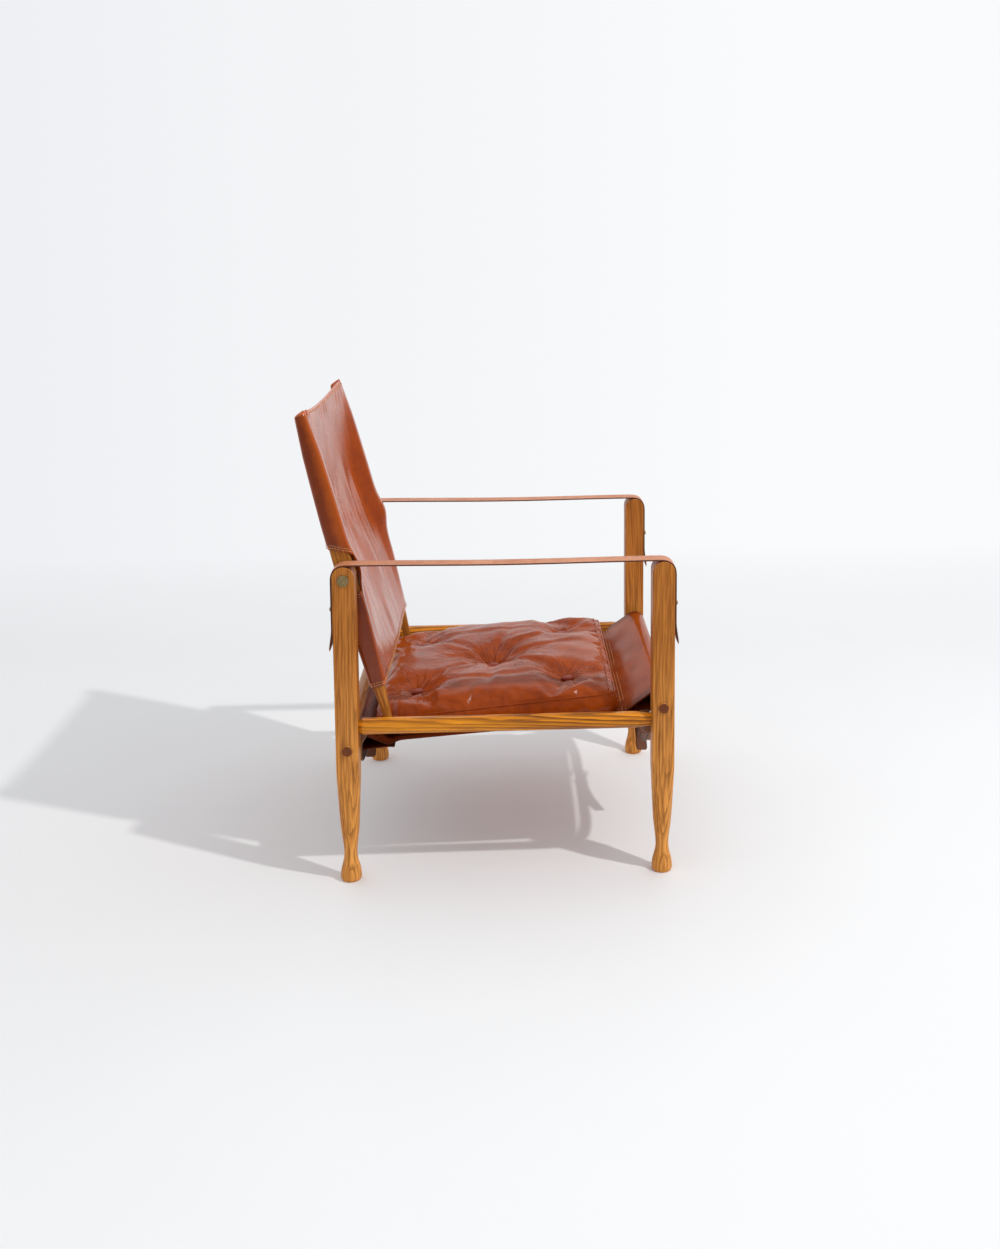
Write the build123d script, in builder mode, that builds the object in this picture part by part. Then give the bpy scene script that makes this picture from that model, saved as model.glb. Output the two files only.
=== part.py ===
from build123d import *
import os
from math import atan2, cos, degrees, hypot, radians, sin, tan

# A knock-down campaign chair. X runs across it with the sitter's left positive, Y runs from
# the front (negative) to the back (positive) and Z is up. The origin is on the floor, in the
# middle of the chair's box.

# Frame
leg_spread = 532.0
leg_span = 538.0
leg_height = 554.0
leg_size = 38.0
leg_arris = 1.6
leg_taper_height = 185.0
leg_round_height = 91.0
leg_round_diameter = 31.0
leg_turned_height = 215.0
waist_height = 37.0
waist_diameter = 24.6
foot_height = 8.0
foot_diameter = 35.6
sole_diameter = 31.0

# Rails and their joints
front_rail_height = 298.0
rear_rail_height = 236.0
side_rail_height = 272.5
tenon_diameter = 20.0
tenon_proud = 2.5
tenon_chamfer = 1.5
side_tenon_length = 30.0
socket_gap = 0.1
cross_rail_diameter = 34.0
cross_rail_shoulder_diameter = 24.0
cross_rail_cone = 26.0
side_rail_across = 26.0
side_rail_arris = 1.2
side_rail_shoulder_diameter = 21.0
front_neck = 28.0
rear_neck = 8.0

# Back
back_lean = 14.3
pivot_drop = 23.0
post_thickness = 20.0
post_end_thickness = 13.0
post_upper_reach = 279.0
post_full_depth = 31.0
post_shoulder_depth = 24.6
post_top_depth = 14.6
post_low_depth = 20.0
post_end_depth = 13.0
post_arris = 5.0
post_full_share = 0.32
post_shoulder_share = 0.76
pivot_gap = 4.0

# Pivot hardware
bolt_diameter = 8.0
bolt_head_diameter = 19.6
bolt_head_thickness = 2.2
bolt_head_rim = 2.2
bolt_head_recess = 0.4
bush_diameter = 13.0
washer_diameter = 22.0
running_gap = 0.08
side_gap = 0.3

# Leather
leather = 2.4
leather_gap = 0.3
sleeve_end_depth = 27.0
sleeve_round = 8.0
sleeve_end_bare = 63.0
cutout_below = 35.0
cutout_above_front = 28.0
cutout_above_rear = 48.0
top_hem_dip = 6.0
low_hem_dip = 14.0

# The back panel's form at four levels, from the lower hem to the top: how far it sits behind
# the posts' centre line, how deep it hangs back in the middle and how high its folds stand.
panel_folds = 6
panel_set_back = (-12.0, -5.0, 6.0, -3.0)
panel_belly = (4.0, 14.0, 12.0, 1.5)
panel_fold_rise = (4.0, 3.5, 2.0, 0.8)

# Seat sling
sling_side_gap = 9.0
front_lap_setback = 64.0
front_lap_drop = 22.0
rear_lap_setback = 66.0
rear_lap_drop = 8.0
seat_front_setback = 104.0
seat_front_drop = 36.0
seat_rear_setback = 84.0
seat_rear_rise = 1.0

# Cushion
cushion_side_gap = 37.0
cushion_corner_inset = 12.0
cushion_rear_inset = 51.0
cushion_front_inset = 72.0
cushion_thickness = 48.0
cushion_crown = 22.0
cushion_bulge = 4.0
cushion_front_round = 16.0
cushion_rear_round = 13.0
cushion_notch_round = 2.0
cushion_notch = 22.0
cushion_notch_slope = 4.0
front_relief_length = 36.0
front_relief_height = 12.0
rear_relief_length = 14.0
rear_relief_height = 6.0
button_diameter = 22.0
button_thickness = 7.0
button_rim = 2.0
button_level = 49.0
centre_button_level = 41.0
tuft_radius = 62.0
tuft_reach_share = 0.42
tuft_rise_share = 0.55
button_row_shares = (0.150, 0.475, 0.800)
button_spread_share = 0.585

# Arm straps and their studs
arm_strap_width = 34.0
arm_strap_thickness = 2.6
arm_strap_tail = 146.0
tail_flare_length = 34.0
tail_flare = 5.0
stud_drop = 76.0
stud_head_diameter = 9.0
stud_head_height = 3.6
stud_neck_diameter = 4.4
stud_shank_length = 16.0

# Girth straps under the seat
girth_width = 20.0
girth_height = 198.0
girth_bend = 24.0
girth_corner_rise = 6.0
girth_tab_rise = 11.0
girth_leg_gap = 0.6
girth_jog = 13.0
girth_jog_outer = 36.0
girth_jog_inner = 86.0
buckle_offset = 52.0
buckle_length = 24.0
buckle_width = 30.0
buckle_wire = 4.0
buckle_round = 4.0
fold_slot = 4.6
fold_lap = 46.0
fold_taper = 15.0
prong_width = 3.6
prong_thickness = 2.4
prong_eye_diameter = 8.0
prong_overhang = 5.0
tongue_hole_length = 13.4
tongue_hole_width = 4.6
tongue_hole_offset = 8.2
tongue_tail_reach = 136.0
tongue_tail_drop = 48.0
punched_hole_diameter = 4.2
punched_hole_pitch = 13.0
punched_hole_count = 5
keeper_length = 10.0
keeper_thickness = 1.6
keeper_offset = 22.0
tab_screw_head = 8.0
tab_screw_head_height = 2.0
tab_screw_diameter = 3.6
tab_screw_length = 14.0

# Places worked out from the sizes
lean = radians(back_lean)
leg_half = leg_size / 2
pivot_height = leg_height - pivot_drop
post_lower_reach = (pivot_height - side_rail_height) / cos(lean)
sleeve_end_drop = post_lower_reach - sleeve_end_bare
sleeve_gap = leather + leather_gap
back_reach = post_upper_reach * sin(lean) + (post_top_depth / 2 + sleeve_gap) * cos(lean)
front_reach = leg_half + leather_gap + arm_strap_thickness + tail_flare
rear_leg_y = (leg_span + front_reach + back_reach) / 2 - back_reach
front_leg_y = rear_leg_y - leg_span
leg_x = leg_spread / 2
post_x = leg_x - leg_half - pivot_gap - post_thickness / 2
sleeve_width = post_thickness + 2 * sleeve_gap
panel_half_width = post_x - sleeve_width / 2 + leather / 2
sling_width = 2 * (leg_x - leg_half - sling_side_gap)
sides = (("right", -1), ("left", 1))


def side_plane(x, y, z):
    """A plane seen from the side: its first axis runs to the back and its second up."""
    return Plane(origin=(x, y, z), x_dir=(0, 1, 0), z_dir=(1, 0, 0))


def front_plane(x, y, z):
    """A plane seen from the front: its first axis runs to the left side and its second up."""
    return Plane(origin=(x, y, z), x_dir=(1, 0, 0), z_dir=(0, -1, 0))


def entry_plane(x, y, z, into):
    """A plane square to the direction in which a hole or a pin goes."""
    return Plane(origin=(x, y, z), z_dir=into)


def save(piece, label):
    """Name a finished piece and write it."""
    piece.part.label = label
    export_step(piece.part, f"parts/{label}.step")


def mirrored(points):
    """A symmetric closed outline from its points on one side, lowest first."""
    return list(points) + [(-across, height) for across, height in reversed(points)]


# Legs. Each is a square bar with a half-round top, turned below the seat to a waist and a
# flared foot. The flats taper into the round part.
def squared_outline():
    """The outline that the flats keep, wide enough below to leave the turned foot alone."""
    return mirrored(
        [
            (leg_size, 0),
            (leg_size, leg_round_height),
            (leg_round_diameter / 2, leg_round_height),
            (leg_half, leg_taper_height),
            (leg_half, leg_height),
        ]
    )


def make_leg(x, y, inward, rail_height, with_pivot):
    """A leg at x, y, whose side rail enters from the side that inward points to."""
    outward = 1 if x > 0 else -1
    shoulder = leg_height - leg_half
    sole = sole_diameter / 2
    foot = foot_diameter / 2
    turned = hypot(leg_half, leg_half)
    neck = leg_round_diameter / 2
    sole_bulge_share = 0.7
    sole_rise_share = 0.35
    with BuildPart() as leg:
        with BuildSketch(side_plane(x, y, 0)):
            with BuildLine():
                Polyline((-leg_half, shoulder), (-leg_half, 0), (leg_half, 0), (leg_half, shoulder))
                ThreePointArc((leg_half, shoulder), (0, leg_height), (-leg_half, shoulder))
            make_face()
        extrude(amount=leg_half, both=True)
        cheeks = leg.faces().filter_by(Axis.X).edges()
        fillet(cheeks.filter_by(lambda edge: edge.center().Z > leg_arris), radius=leg_arris)
        for plane in (side_plane(x, y, 0), front_plane(x, y, 0)):
            with BuildSketch(plane):
                with BuildLine():
                    Polyline(*squared_outline(), close=True)
                make_face()
            extrude(amount=leg_size, both=True, mode=Mode.INTERSECT)
        with BuildSketch(front_plane(x, y, 0)):
            with BuildLine():
                Line((0, 0), (sole, 0))
                ThreePointArc(
                    (sole, 0),
                    (sole + (foot - sole) * sole_bulge_share, foot_height * sole_rise_share),
                    (foot, foot_height),
                )
                Spline(
                    (foot, foot_height),
                    (waist_diameter / 2, waist_height),
                    (neck, leg_round_height),
                    tangents=[(0, 1), (turned - neck, leg_turned_height - leg_round_height)],
                )
                Polyline(
                    (neck, leg_round_height),
                    (turned, leg_turned_height),
                    (turned, leg_height),
                    (0, leg_height),
                    (0, 0),
                )
            make_face()
        revolve(axis=Axis((x, y, 0), (0, 0, 1)), mode=Mode.INTERSECT)
        with BuildSketch(side_plane(x, y, rail_height)):
            Circle(tenon_diameter / 2 + socket_gap)
        extrude(amount=leg_size, both=True, mode=Mode.SUBTRACT)
        face_y = y + inward * leg_half
        with BuildSketch(entry_plane(x, face_y, side_rail_height, (0, -inward, 0))):
            Circle(tenon_diameter / 2 + socket_gap)
        extrude(amount=side_tenon_length + socket_gap, mode=Mode.SUBTRACT)
        stud_y = y - inward * leg_half
        with BuildSketch(entry_plane(x, stud_y, leg_height - stud_drop, (0, inward, 0))):
            Circle(stud_neck_diameter / 2)
        extrude(amount=stud_shank_length, mode=Mode.SUBTRACT)
        if with_pivot:
            with BuildSketch(side_plane(x, y, pivot_height)):
                Circle(bolt_diameter / 2 + running_gap)
            extrude(amount=leg_size, both=True, mode=Mode.SUBTRACT)
            rim_x = x + outward * leg_half
            with BuildSketch(entry_plane(rim_x, y, pivot_height, (-outward, 0, 0))):
                Circle(bolt_head_diameter / 2 + running_gap)
            extrude(amount=bolt_head_recess, mode=Mode.SUBTRACT)
    return leg


# Cross rails. Turned bars whose tenons run right through the legs.
def make_cross_rail(y, height):
    """The turned rail across the chair at y and height."""
    end = leg_x + leg_half + tenon_proud
    shoulder = leg_x - leg_half - socket_gap
    body = shoulder - cross_rail_cone
    tenon = tenon_diameter / 2
    half = [
        (0, cross_rail_diameter / 2),
        (body, cross_rail_diameter / 2),
        (shoulder, cross_rail_shoulder_diameter / 2),
        (shoulder, tenon),
        (end - tenon_chamfer, tenon),
        (end, tenon - tenon_chamfer),
        (end, 0),
    ]
    with BuildPart() as rail:
        with BuildSketch(front_plane(0, y, height)):
            with BuildLine():
                Polyline(*half, *[(-across, radius) for across, radius in reversed(half[1:])], close=True)
            make_face()
        revolve(axis=Axis((0, y, height), (1, 0, 0)))
    return rail


# Side rails. Eight-sided bars, turned to a cone at each end and to a tenon inside the leg.
def make_side_rail(x):
    """The rail along one side, with the pilot holes of its two strap screws."""
    middle = (front_leg_y + rear_leg_y) / 2
    reach = leg_span / 2 - leg_half
    body = side_rail_across / 2 / cos(radians(22.5))
    shoulder = side_rail_shoulder_diameter / 2
    tenon = tenon_diameter / 2
    end = reach + side_tenon_length
    inward = -1 if x > 0 else 1
    with BuildPart() as rail:
        with BuildSketch(front_plane(x, middle, side_rail_height)):
            RegularPolygon(side_rail_across / 2, 8, major_radius=False, rotation=22.5)
            fillet(vertices(), radius=side_rail_arris)
        extrude(amount=end, both=True)
        with BuildSketch(side_plane(x, middle, side_rail_height)):
            with BuildLine():
                Polyline(
                    (-end, 0),
                    (-end, tenon - tenon_chamfer),
                    (tenon_chamfer - end, tenon),
                    (socket_gap - reach, tenon),
                    (socket_gap - reach, shoulder),
                    (front_neck - reach, body),
                    (reach - rear_neck, body),
                    (reach - socket_gap, shoulder),
                    (reach - socket_gap, tenon),
                    (end - tenon_chamfer, tenon),
                    (end, tenon - tenon_chamfer),
                    (end, 0),
                    close=True,
                )
            make_face()
        revolve(axis=Axis((x, middle, side_rail_height), (0, 1, 0)), mode=Mode.INTERSECT)
        for y in (girth_tab_y("front"), girth_tab_y("rear")):
            start = x + inward * side_rail_across / 2
            with BuildSketch(entry_plane(start, y, side_rail_height, (-inward, 0, 0))):
                Circle(tab_screw_diameter / 2 + socket_gap)
            extrude(amount=tab_screw_length + socket_gap, mode=Mode.SUBTRACT)
    return rail


def girth_tab_y(end):
    """The middle of a girth strap's tab, close beside the leg."""
    clear = leg_half + girth_leg_gap + girth_width / 2
    return front_leg_y + clear if end == "front" else rear_leg_y - clear


# Back posts. They taper to both ends and turn on a bolt through the rear leg's top.
def back_side_plane(x):
    """The side view along a leaning post: first axis to the rear, second up the post."""
    return Plane(
        origin=(x, rear_leg_y, pivot_height),
        x_dir=(0, cos(lean), -sin(lean)),
        z_dir=(1, 0, 0),
    )


def back_face_plane():
    """The front view of the leaning back: first axis to the left, second up the posts."""
    return Plane(
        origin=(0, rear_leg_y, pivot_height),
        x_dir=(1, 0, 0),
        z_dir=(0, -cos(lean), sin(lean)),
    )


def back_level_plane(level):
    """A cut square across the posts at a level along them: second axis to the rear."""
    return Plane(
        origin=(0, rear_leg_y + level * sin(lean), pivot_height + level * cos(lean)),
        x_dir=(1, 0, 0),
        z_dir=(0, sin(lean), cos(lean)),
    )


post_full_low = -post_lower_reach * post_full_share
post_full_high = post_upper_reach * post_full_share


def tapered_bar(x, side_half, front_half, reach, rounding):
    """A leaning bar from its outlines seen from the side and from the front, edges rounded."""
    face = back_face_plane()
    foot, shoulder, head = front_half
    with BuildPart() as bar:
        with BuildSketch(back_side_plane(x)):
            with BuildLine():
                for sign in (1, -1):
                    Spline(*[(sign * across, level) for across, level in side_half])
                for across, level in (side_half[0], side_half[-1]):
                    Line((-across, level), (across, level))
            make_face()
        extrude(amount=reach, both=True)
        with BuildSketch(Plane(origin=face.origin + (x, 0, 0), x_dir=face.x_dir, z_dir=face.z_dir)):
            with BuildLine():
                for sign in (1, -1):
                    taper = (sign * (shoulder[0] - foot[0]), shoulder[1] - foot[1])
                    low, high = (sign * foot[0], foot[1]), (sign * shoulder[0], shoulder[1])
                    Spline(low, high, tangents=[taper, (0, 1)])
                    Line(high, (sign * head[0], head[1]))
                for across, level in (foot, head):
                    Line((-across, level), (across, level))
            make_face()
        extrude(amount=reach, both=True, mode=Mode.INTERSECT)
        rims = bar.edges().filter_by(lambda edge: edge.length > 2 * reach)
        fillet(rims, radius=rounding)
    return bar


def make_back_post(x):
    """A post that turns at x on the pivot bolt's axis."""
    side_half = [
        (post_end_depth / 2, -post_lower_reach),
        (post_low_depth / 2, -sleeve_end_drop),
        (post_full_depth / 2, post_full_low),
        (post_full_depth / 2, post_full_high),
        (post_shoulder_depth / 2, post_upper_reach * post_shoulder_share),
        (post_top_depth / 2, post_upper_reach - sleeve_gap),
    ]
    front_half = [
        (post_end_thickness / 2, -post_lower_reach),
        (post_thickness / 2, -sleeve_end_drop),
        (post_thickness / 2, post_upper_reach - sleeve_gap),
    ]
    form = tapered_bar(x, side_half, front_half, post_full_depth, post_arris)
    with BuildPart() as post:
        add(form.part)
        with BuildSketch(back_side_plane(x)):
            Circle(bush_diameter / 2 + socket_gap)
        extrude(amount=post_thickness, both=True, mode=Mode.SUBTRACT)
    return post


def make_sleeve_form(x, wall):
    """The solid inside of a sleeve, wall within its outer face, or its outside for no wall."""
    below = sleeve_end_drop + wall
    loose = sleeve_gap - wall
    side_half = [
        (sleeve_end_depth / 2 - wall, -below),
        (post_full_depth / 2 + loose, post_full_low),
        (post_full_depth / 2 + loose, post_full_high),
        (post_shoulder_depth / 2 + loose, post_upper_reach * post_shoulder_share),
        (post_top_depth / 2 + loose, post_upper_reach - wall),
    ]
    front_half = [
        (post_thickness / 2 + loose, -below),
        (post_thickness / 2 + loose, post_full_low),
        (post_thickness / 2 + loose, post_upper_reach - wall),
    ]
    return tapered_bar(x, side_half, front_half, post_full_depth + 2 * sleeve_gap, sleeve_round - wall)


# Back leather. One sheet with its edges sewn round the posts, cut away at the pivots.
def panel_wave(half_width, set_back, belly, rise, shift):
    """The panel's line across the back, as folds of one arc each on a shallow dish."""
    step = 2 * half_width / panel_folds
    places = [step * index - half_width for index in range(panel_folds + 1)]
    dish = [set_back + belly * (1 - (place / half_width) ** 2) + shift for place in places]
    knots = list(zip(places, dish))
    arcs = []
    for index in range(panel_folds):
        start, end = knots[index], knots[index + 1]
        lift = rise if index % 2 else -rise
        crest = ((start[0] + end[0]) / 2, (start[1] + end[1]) / 2 + lift)
        arcs.append((start, crest, end))
    return arcs


def make_sleeve(side):
    """A sleeve round a post, cut away at the pivot for the leg."""
    with BuildPart() as sleeve:
        add(make_sleeve_form(side * post_x, 0).part)
        add(make_sleeve_form(side * post_x, leather).part, mode=Mode.SUBTRACT)
        with BuildSketch(back_side_plane(side * (panel_half_width + leg_size / 2))):
            with BuildLine():
                Polyline(
                    (-leg_half, -cutout_below),
                    (-leg_half, cutout_above_front),
                    (leg_half, cutout_above_rear),
                    (leg_half, -cutout_below),
                    close=True,
                )
            make_face()
        extrude(amount=leg_size / 2, both=True, mode=Mode.SUBTRACT)
    return sleeve


def make_back_leather():
    """The sheet between the posts with its four sleeves."""
    half_width = panel_half_width
    trim = -sleeve_end_drop - low_hem_dip - leather
    levels = (trim, post_full_low, post_full_high, post_upper_reach)
    with BuildPart() as sheet:
        for level, set_back, belly, rise in zip(levels, panel_set_back, panel_belly, panel_fold_rise):
            front = panel_wave(half_width, set_back, belly, rise, 0)
            rear = panel_wave(half_width, set_back, belly, rise, leather)
            with BuildSketch(back_level_plane(level)):
                with BuildLine():
                    for arc in front + rear:
                        ThreePointArc(*arc)
                    Line(front[0][0], rear[0][0])
                    Line(front[-1][2], rear[-1][2])
                make_face()
        loft(ruled=True)
        with BuildSketch(back_face_plane()):
            with BuildLine():
                ThreePointArc(
                    (-half_width, post_upper_reach),
                    (0, post_upper_reach - top_hem_dip),
                    (half_width, post_upper_reach),
                )
                Polyline(
                    (half_width, post_upper_reach),
                    (half_width, post_upper_reach + leg_size),
                    (-half_width, post_upper_reach + leg_size),
                    (-half_width, post_upper_reach),
                )
            make_face()
        extrude(amount=leg_size, both=True, mode=Mode.SUBTRACT)
        low = -sleeve_end_drop
        with BuildSketch(back_face_plane()):
            with BuildLine():
                ThreePointArc((-half_width, low), (0, low - low_hem_dip), (half_width, low))
                Polyline(
                    (half_width, low),
                    (half_width, low - leg_size),
                    (-half_width, low - leg_size),
                    (-half_width, low),
                )
            make_face()
        extrude(amount=leg_size, both=True, mode=Mode.SUBTRACT)
        for _, side in sides:
            add(make_sleeve(side).part)
    return sheet


# Pivot hardware, one solid for each side in each piece.
def make_pivot_bolts():
    """Bolts with a flat coin head, from the leg's outer face into the post."""
    with BuildPart() as bolts:
        for _, side in sides:
            seat = side * (leg_x + leg_half - bolt_head_recess)
            length = leg_size - bolt_head_recess + pivot_gap + post_thickness - side_gap
            plane = entry_plane(seat, rear_leg_y, pivot_height, (side, 0, 0))
            with BuildSketch(plane):
                Circle(bolt_head_diameter / 2)
            extrude(amount=bolt_head_thickness)
            with BuildSketch(plane.offset(bolt_head_thickness)):
                Circle(bolt_head_diameter / 2 - bolt_head_rim)
            extrude(amount=-bolt_head_recess, mode=Mode.SUBTRACT)
            with BuildSketch(plane):
                Circle(bolt_diameter / 2)
            extrude(amount=-length)
    return bolts


def make_pivot_washers():
    """Washers that hold the posts off the legs."""
    with BuildPart() as washers:
        for _, side in sides:
            face = side * (leg_x - leg_half)
            with BuildSketch(entry_plane(face, rear_leg_y, pivot_height, (-side, 0, 0))):
                Circle(washer_diameter / 2)
                Circle(bolt_diameter / 2 + running_gap, mode=Mode.SUBTRACT)
            extrude(amount=pivot_gap - side_gap)
    return washers


def make_pivot_bushes():
    """Brass bushes pressed into the posts."""
    with BuildPart() as bushes:
        for _, side in sides:
            with BuildSketch(side_plane(side * post_x, rear_leg_y, pivot_height)):
                Circle(bush_diameter / 2)
                Circle(bolt_diameter / 2 + running_gap, mode=Mode.SUBTRACT)
            extrude(amount=post_thickness / 2, both=True)
    return bushes


# Seat sling. One sheet whose ends are turned round the cross rails and sewn back on it.
front_lap = (front_leg_y + front_lap_setback, front_rail_height - front_lap_drop)
rear_lap = (rear_leg_y - rear_lap_setback, rear_rail_height - rear_lap_drop)
seat_front = (front_leg_y + seat_front_setback, front_rail_height - seat_front_drop)
seat_rear = (rear_leg_y - seat_rear_setback, rear_rail_height + seat_rear_rise)


def make_seat_sling():
    """The sheet and its two sleeves, as one closed skin of one thickness."""
    inner = cross_rail_diameter / 2 + leather_gap
    sleeves = (
        ((front_leg_y, front_rail_height), front_lap),
        ((rear_leg_y, rear_rail_height), rear_lap),
    )
    level = (seat_rear[0] - seat_front[0], seat_rear[1] - seat_front[1])
    dip = (seat_front[0] - front_lap[0], seat_front[1] - front_lap[1])
    drop = (rear_lap[0] - seat_rear[0], rear_lap[1] - seat_rear[1])
    with BuildPart() as sling:
        for rail, lap in sleeves:
            with BuildSketch(side_plane(0, 0, 0)):
                with Locations(rail):
                    Circle(inner + leather)
                with Locations((lap[0], lap[1] - leather)):
                    Circle(leather)
                make_hull()
            extrude(amount=sling_width / 2, both=True)
        with BuildSketch(side_plane(0, 0, 0)):
            with BuildLine():
                for shift in (0, -leather):
                    stops = [(y, z + shift) for y, z in (front_lap, seat_front, seat_rear, rear_lap)]
                    Spline(*stops[:2], tangents=[dip, level])
                    Line(*stops[1:3])
                    Spline(*stops[2:], tangents=[level, drop])
                for y, z in (front_lap, rear_lap):
                    Line((y, z), (y, z - leather))
            make_face()
        extrude(amount=sling_width / 2, both=True)
        for rail, lap in sleeves:
            toward = 1 if lap[0] > rail[0] else -1
            with BuildSketch(side_plane(0, 0, 0)):
                with Locations(rail):
                    Circle(inner)
                with Locations((lap[0] - toward * 4 * leather, lap[1] - leather)):
                    Circle(leather_gap)
                make_hull()
            extrude(amount=sling_width, both=True, mode=Mode.SUBTRACT)
    return sling


# Seat cushion. A tufted box cushion that lies on the sling between the posts' lower ends.
seat_slope = atan2(seat_front[1] - seat_rear[1], seat_rear[0] - seat_front[0])
cushion_depth = (leg_span - cushion_rear_inset - cushion_front_inset) / cos(seat_slope)
cushion_half = leg_x - cushion_side_gap
cushion_rear_y = rear_leg_y - cushion_rear_inset
cushion_base_z = seat_rear[1] + leather_gap + (seat_rear[0] - cushion_rear_y) * tan(seat_slope)
slope_rear = (0, cos(seat_slope), -sin(seat_slope))
slope_up = (0, sin(seat_slope), cos(seat_slope))
cushion_origin = (0, cushion_rear_y, cushion_base_z)


def cushion_point(x, along, height):
    """A point of the cushion's own frame: along runs forward from its rear edge."""
    return (
        x,
        cushion_rear_y - along * cos(seat_slope) + height * sin(seat_slope),
        cushion_base_z + along * sin(seat_slope) + height * cos(seat_slope),
    )


def button_places():
    """The five buttons as across, along and level of their top."""
    rear, middle, front = (cushion_depth * share for share in button_row_shares)
    across = cushion_half * button_spread_share
    places = [(0, middle, centre_button_level)]
    for along in (rear, front):
        places += [(-across, along, button_level), (across, along, button_level)]
    return places


def make_seat_cushion():
    """The crowned form common to its side, front and top outlines, with five tufts."""
    rear_half = cushion_half - cushion_corner_inset
    height = cushion_thickness
    plan = mirrored(
        [
            (rear_half, 0),
            (rear_half, -cushion_notch),
            (cushion_half, -cushion_notch - cushion_notch_slope),
            (cushion_half, -cushion_depth),
        ]
    )
    with BuildPart() as cushion:
        with BuildSketch(Plane(origin=cushion_origin, x_dir=(1, 0, 0), z_dir=slope_up)):
            with BuildLine():
                Polyline(*plan, close=True)
            make_face()
            rear = vertices().group_by(Axis.Y)[-1]
            front = vertices().group_by(Axis.Y)[0]
            notch = vertices().group_by(Axis.Y)[1] + vertices().group_by(Axis.Y)[2]
            fillet(notch, radius=cushion_notch_round)
            fillet(rear, radius=cushion_rear_round)
            fillet(front, radius=cushion_front_round)
        extrude(amount=height + cushion_crown)
        with BuildSketch(Plane(origin=cushion_origin, x_dir=slope_rear, z_dir=(1, 0, 0))):
            with BuildLine():
                Line((-rear_relief_length, 0), (-cushion_bulge, rear_relief_height))
                ThreePointArc(
                    (-cushion_bulge, rear_relief_height),
                    (0, height / 2),
                    (-cushion_bulge, height),
                )
                ThreePointArc(
                    (-cushion_bulge, height),
                    (-cushion_depth / 2, height + cushion_crown),
                    (cushion_bulge - cushion_depth, height),
                )
                ThreePointArc(
                    (cushion_bulge - cushion_depth, height),
                    (-cushion_depth, (height + front_relief_height) / 2),
                    (cushion_bulge - cushion_depth, front_relief_height),
                )
                Polyline(
                    (cushion_bulge - cushion_depth, front_relief_height),
                    (front_relief_length - cushion_depth, 0),
                    (-rear_relief_length, 0),
                )
            make_face()
        extrude(amount=cushion_half, both=True, mode=Mode.INTERSECT)
        slope_front = (0, -slope_rear[1], -slope_rear[2])
        with BuildSketch(Plane(origin=cushion_origin, x_dir=(1, 0, 0), z_dir=slope_front)):
            with BuildLine():
                edge = cushion_half - cushion_bulge
                Line((-edge, 0), (edge, 0))
                ThreePointArc((edge, 0), (cushion_half, height / 2), (edge, height))
                ThreePointArc((edge, height), (0, height + cushion_crown), (-edge, height))
                ThreePointArc((-edge, height), (-cushion_half, height / 2), (-edge, 0))
            make_face()
        extrude(amount=cushion_depth, mode=Mode.INTERSECT)
        for x, along, level in button_places():
            floor = level - button_thickness
            throat = button_diameter / 2 + leather_gap
            lip = floor + button_rim
            mouth = height + cushion_crown + button_rim
            shoulder = throat + (tuft_radius - throat) * tuft_reach_share
            rise = lip + (mouth - lip) * tuft_rise_share
            origin = cushion_point(x, along, 0)
            with BuildSketch(Plane(origin=origin, x_dir=slope_rear, z_dir=(1, 0, 0))):
                with BuildLine():
                    Polyline((0, mouth), (0, floor), (throat, floor), (throat, lip))
                    Spline((throat, lip), (shoulder, rise), (tuft_radius, mouth))
                    Line((tuft_radius, mouth), (0, mouth))
                make_face()
            revolve(axis=Axis(origin, slope_up), mode=Mode.SUBTRACT)
    return cushion


def make_cushion_buttons():
    """Five leather-covered buttons, domed on top, seated in their tufts."""
    with BuildPart() as buttons:
        for x, along, level in button_places():
            floor = level - button_thickness + leather_gap
            origin = cushion_point(x, along, 0)
            rim = button_diameter / 2
            lip = floor + button_rim
            with BuildSketch(Plane(origin=origin, x_dir=slope_rear, z_dir=(1, 0, 0))):
                with BuildLine():
                    Polyline((0, level), (0, floor), (rim, floor), (rim, lip))
                    Spline((rim, lip), (0, level), tangents=[(0, 1), (-1, 0)])
                make_face()
            revolve(axis=Axis(origin, slope_up))
    return buttons


# Arm straps. Each lies over both leg tops and buttons on a stud on the outside of each leg.
def make_arm_strap(x):
    """The strap over the legs at x, with its tails and stud holes."""
    inner = leg_half + leather_gap
    thick = arm_strap_thickness
    bend = leg_height - leg_half
    flare_top = leg_height - arm_strap_tail + tail_flare_length
    tip = leg_height - arm_strap_tail
    turn = cos(radians(45))

    def side_line(radius):
        """The strap's line at a radius from the leg tops' centres, tip to tip."""
        top = bend + radius
        Polyline(
            (rear_leg_y + radius + tail_flare, tip),
            (rear_leg_y + radius, flare_top),
            (rear_leg_y + radius, bend),
        )
        ThreePointArc(
            (rear_leg_y + radius, bend),
            (rear_leg_y + radius * turn, bend + radius * turn),
            (rear_leg_y, top),
        )
        Line((rear_leg_y, top), (front_leg_y, top))
        ThreePointArc(
            (front_leg_y, top),
            (front_leg_y - radius * turn, bend + radius * turn),
            (front_leg_y - radius, bend),
        )
        Polyline(
            (front_leg_y - radius, bend),
            (front_leg_y - radius, flare_top),
            (front_leg_y - radius - tail_flare, tip),
        )

    with BuildPart() as strap:
        with BuildSketch(side_plane(x, 0, 0)):
            with BuildLine():
                side_line(inner)
                side_line(inner + thick)
                for sign, y in ((1, rear_leg_y), (-1, front_leg_y)):
                    near = y + sign * (inner + tail_flare)
                    Line((near, tip), (near + sign * thick, tip))
            make_face()
        extrude(amount=arm_strap_width / 2, both=True)
        with BuildSketch(front_plane(x, front_leg_y, leg_height - stud_drop)):
            Circle(stud_neck_diameter / 2 + socket_gap)
        extrude(amount=leg_span + leg_size, both=True, mode=Mode.SUBTRACT)
    return strap


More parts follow.
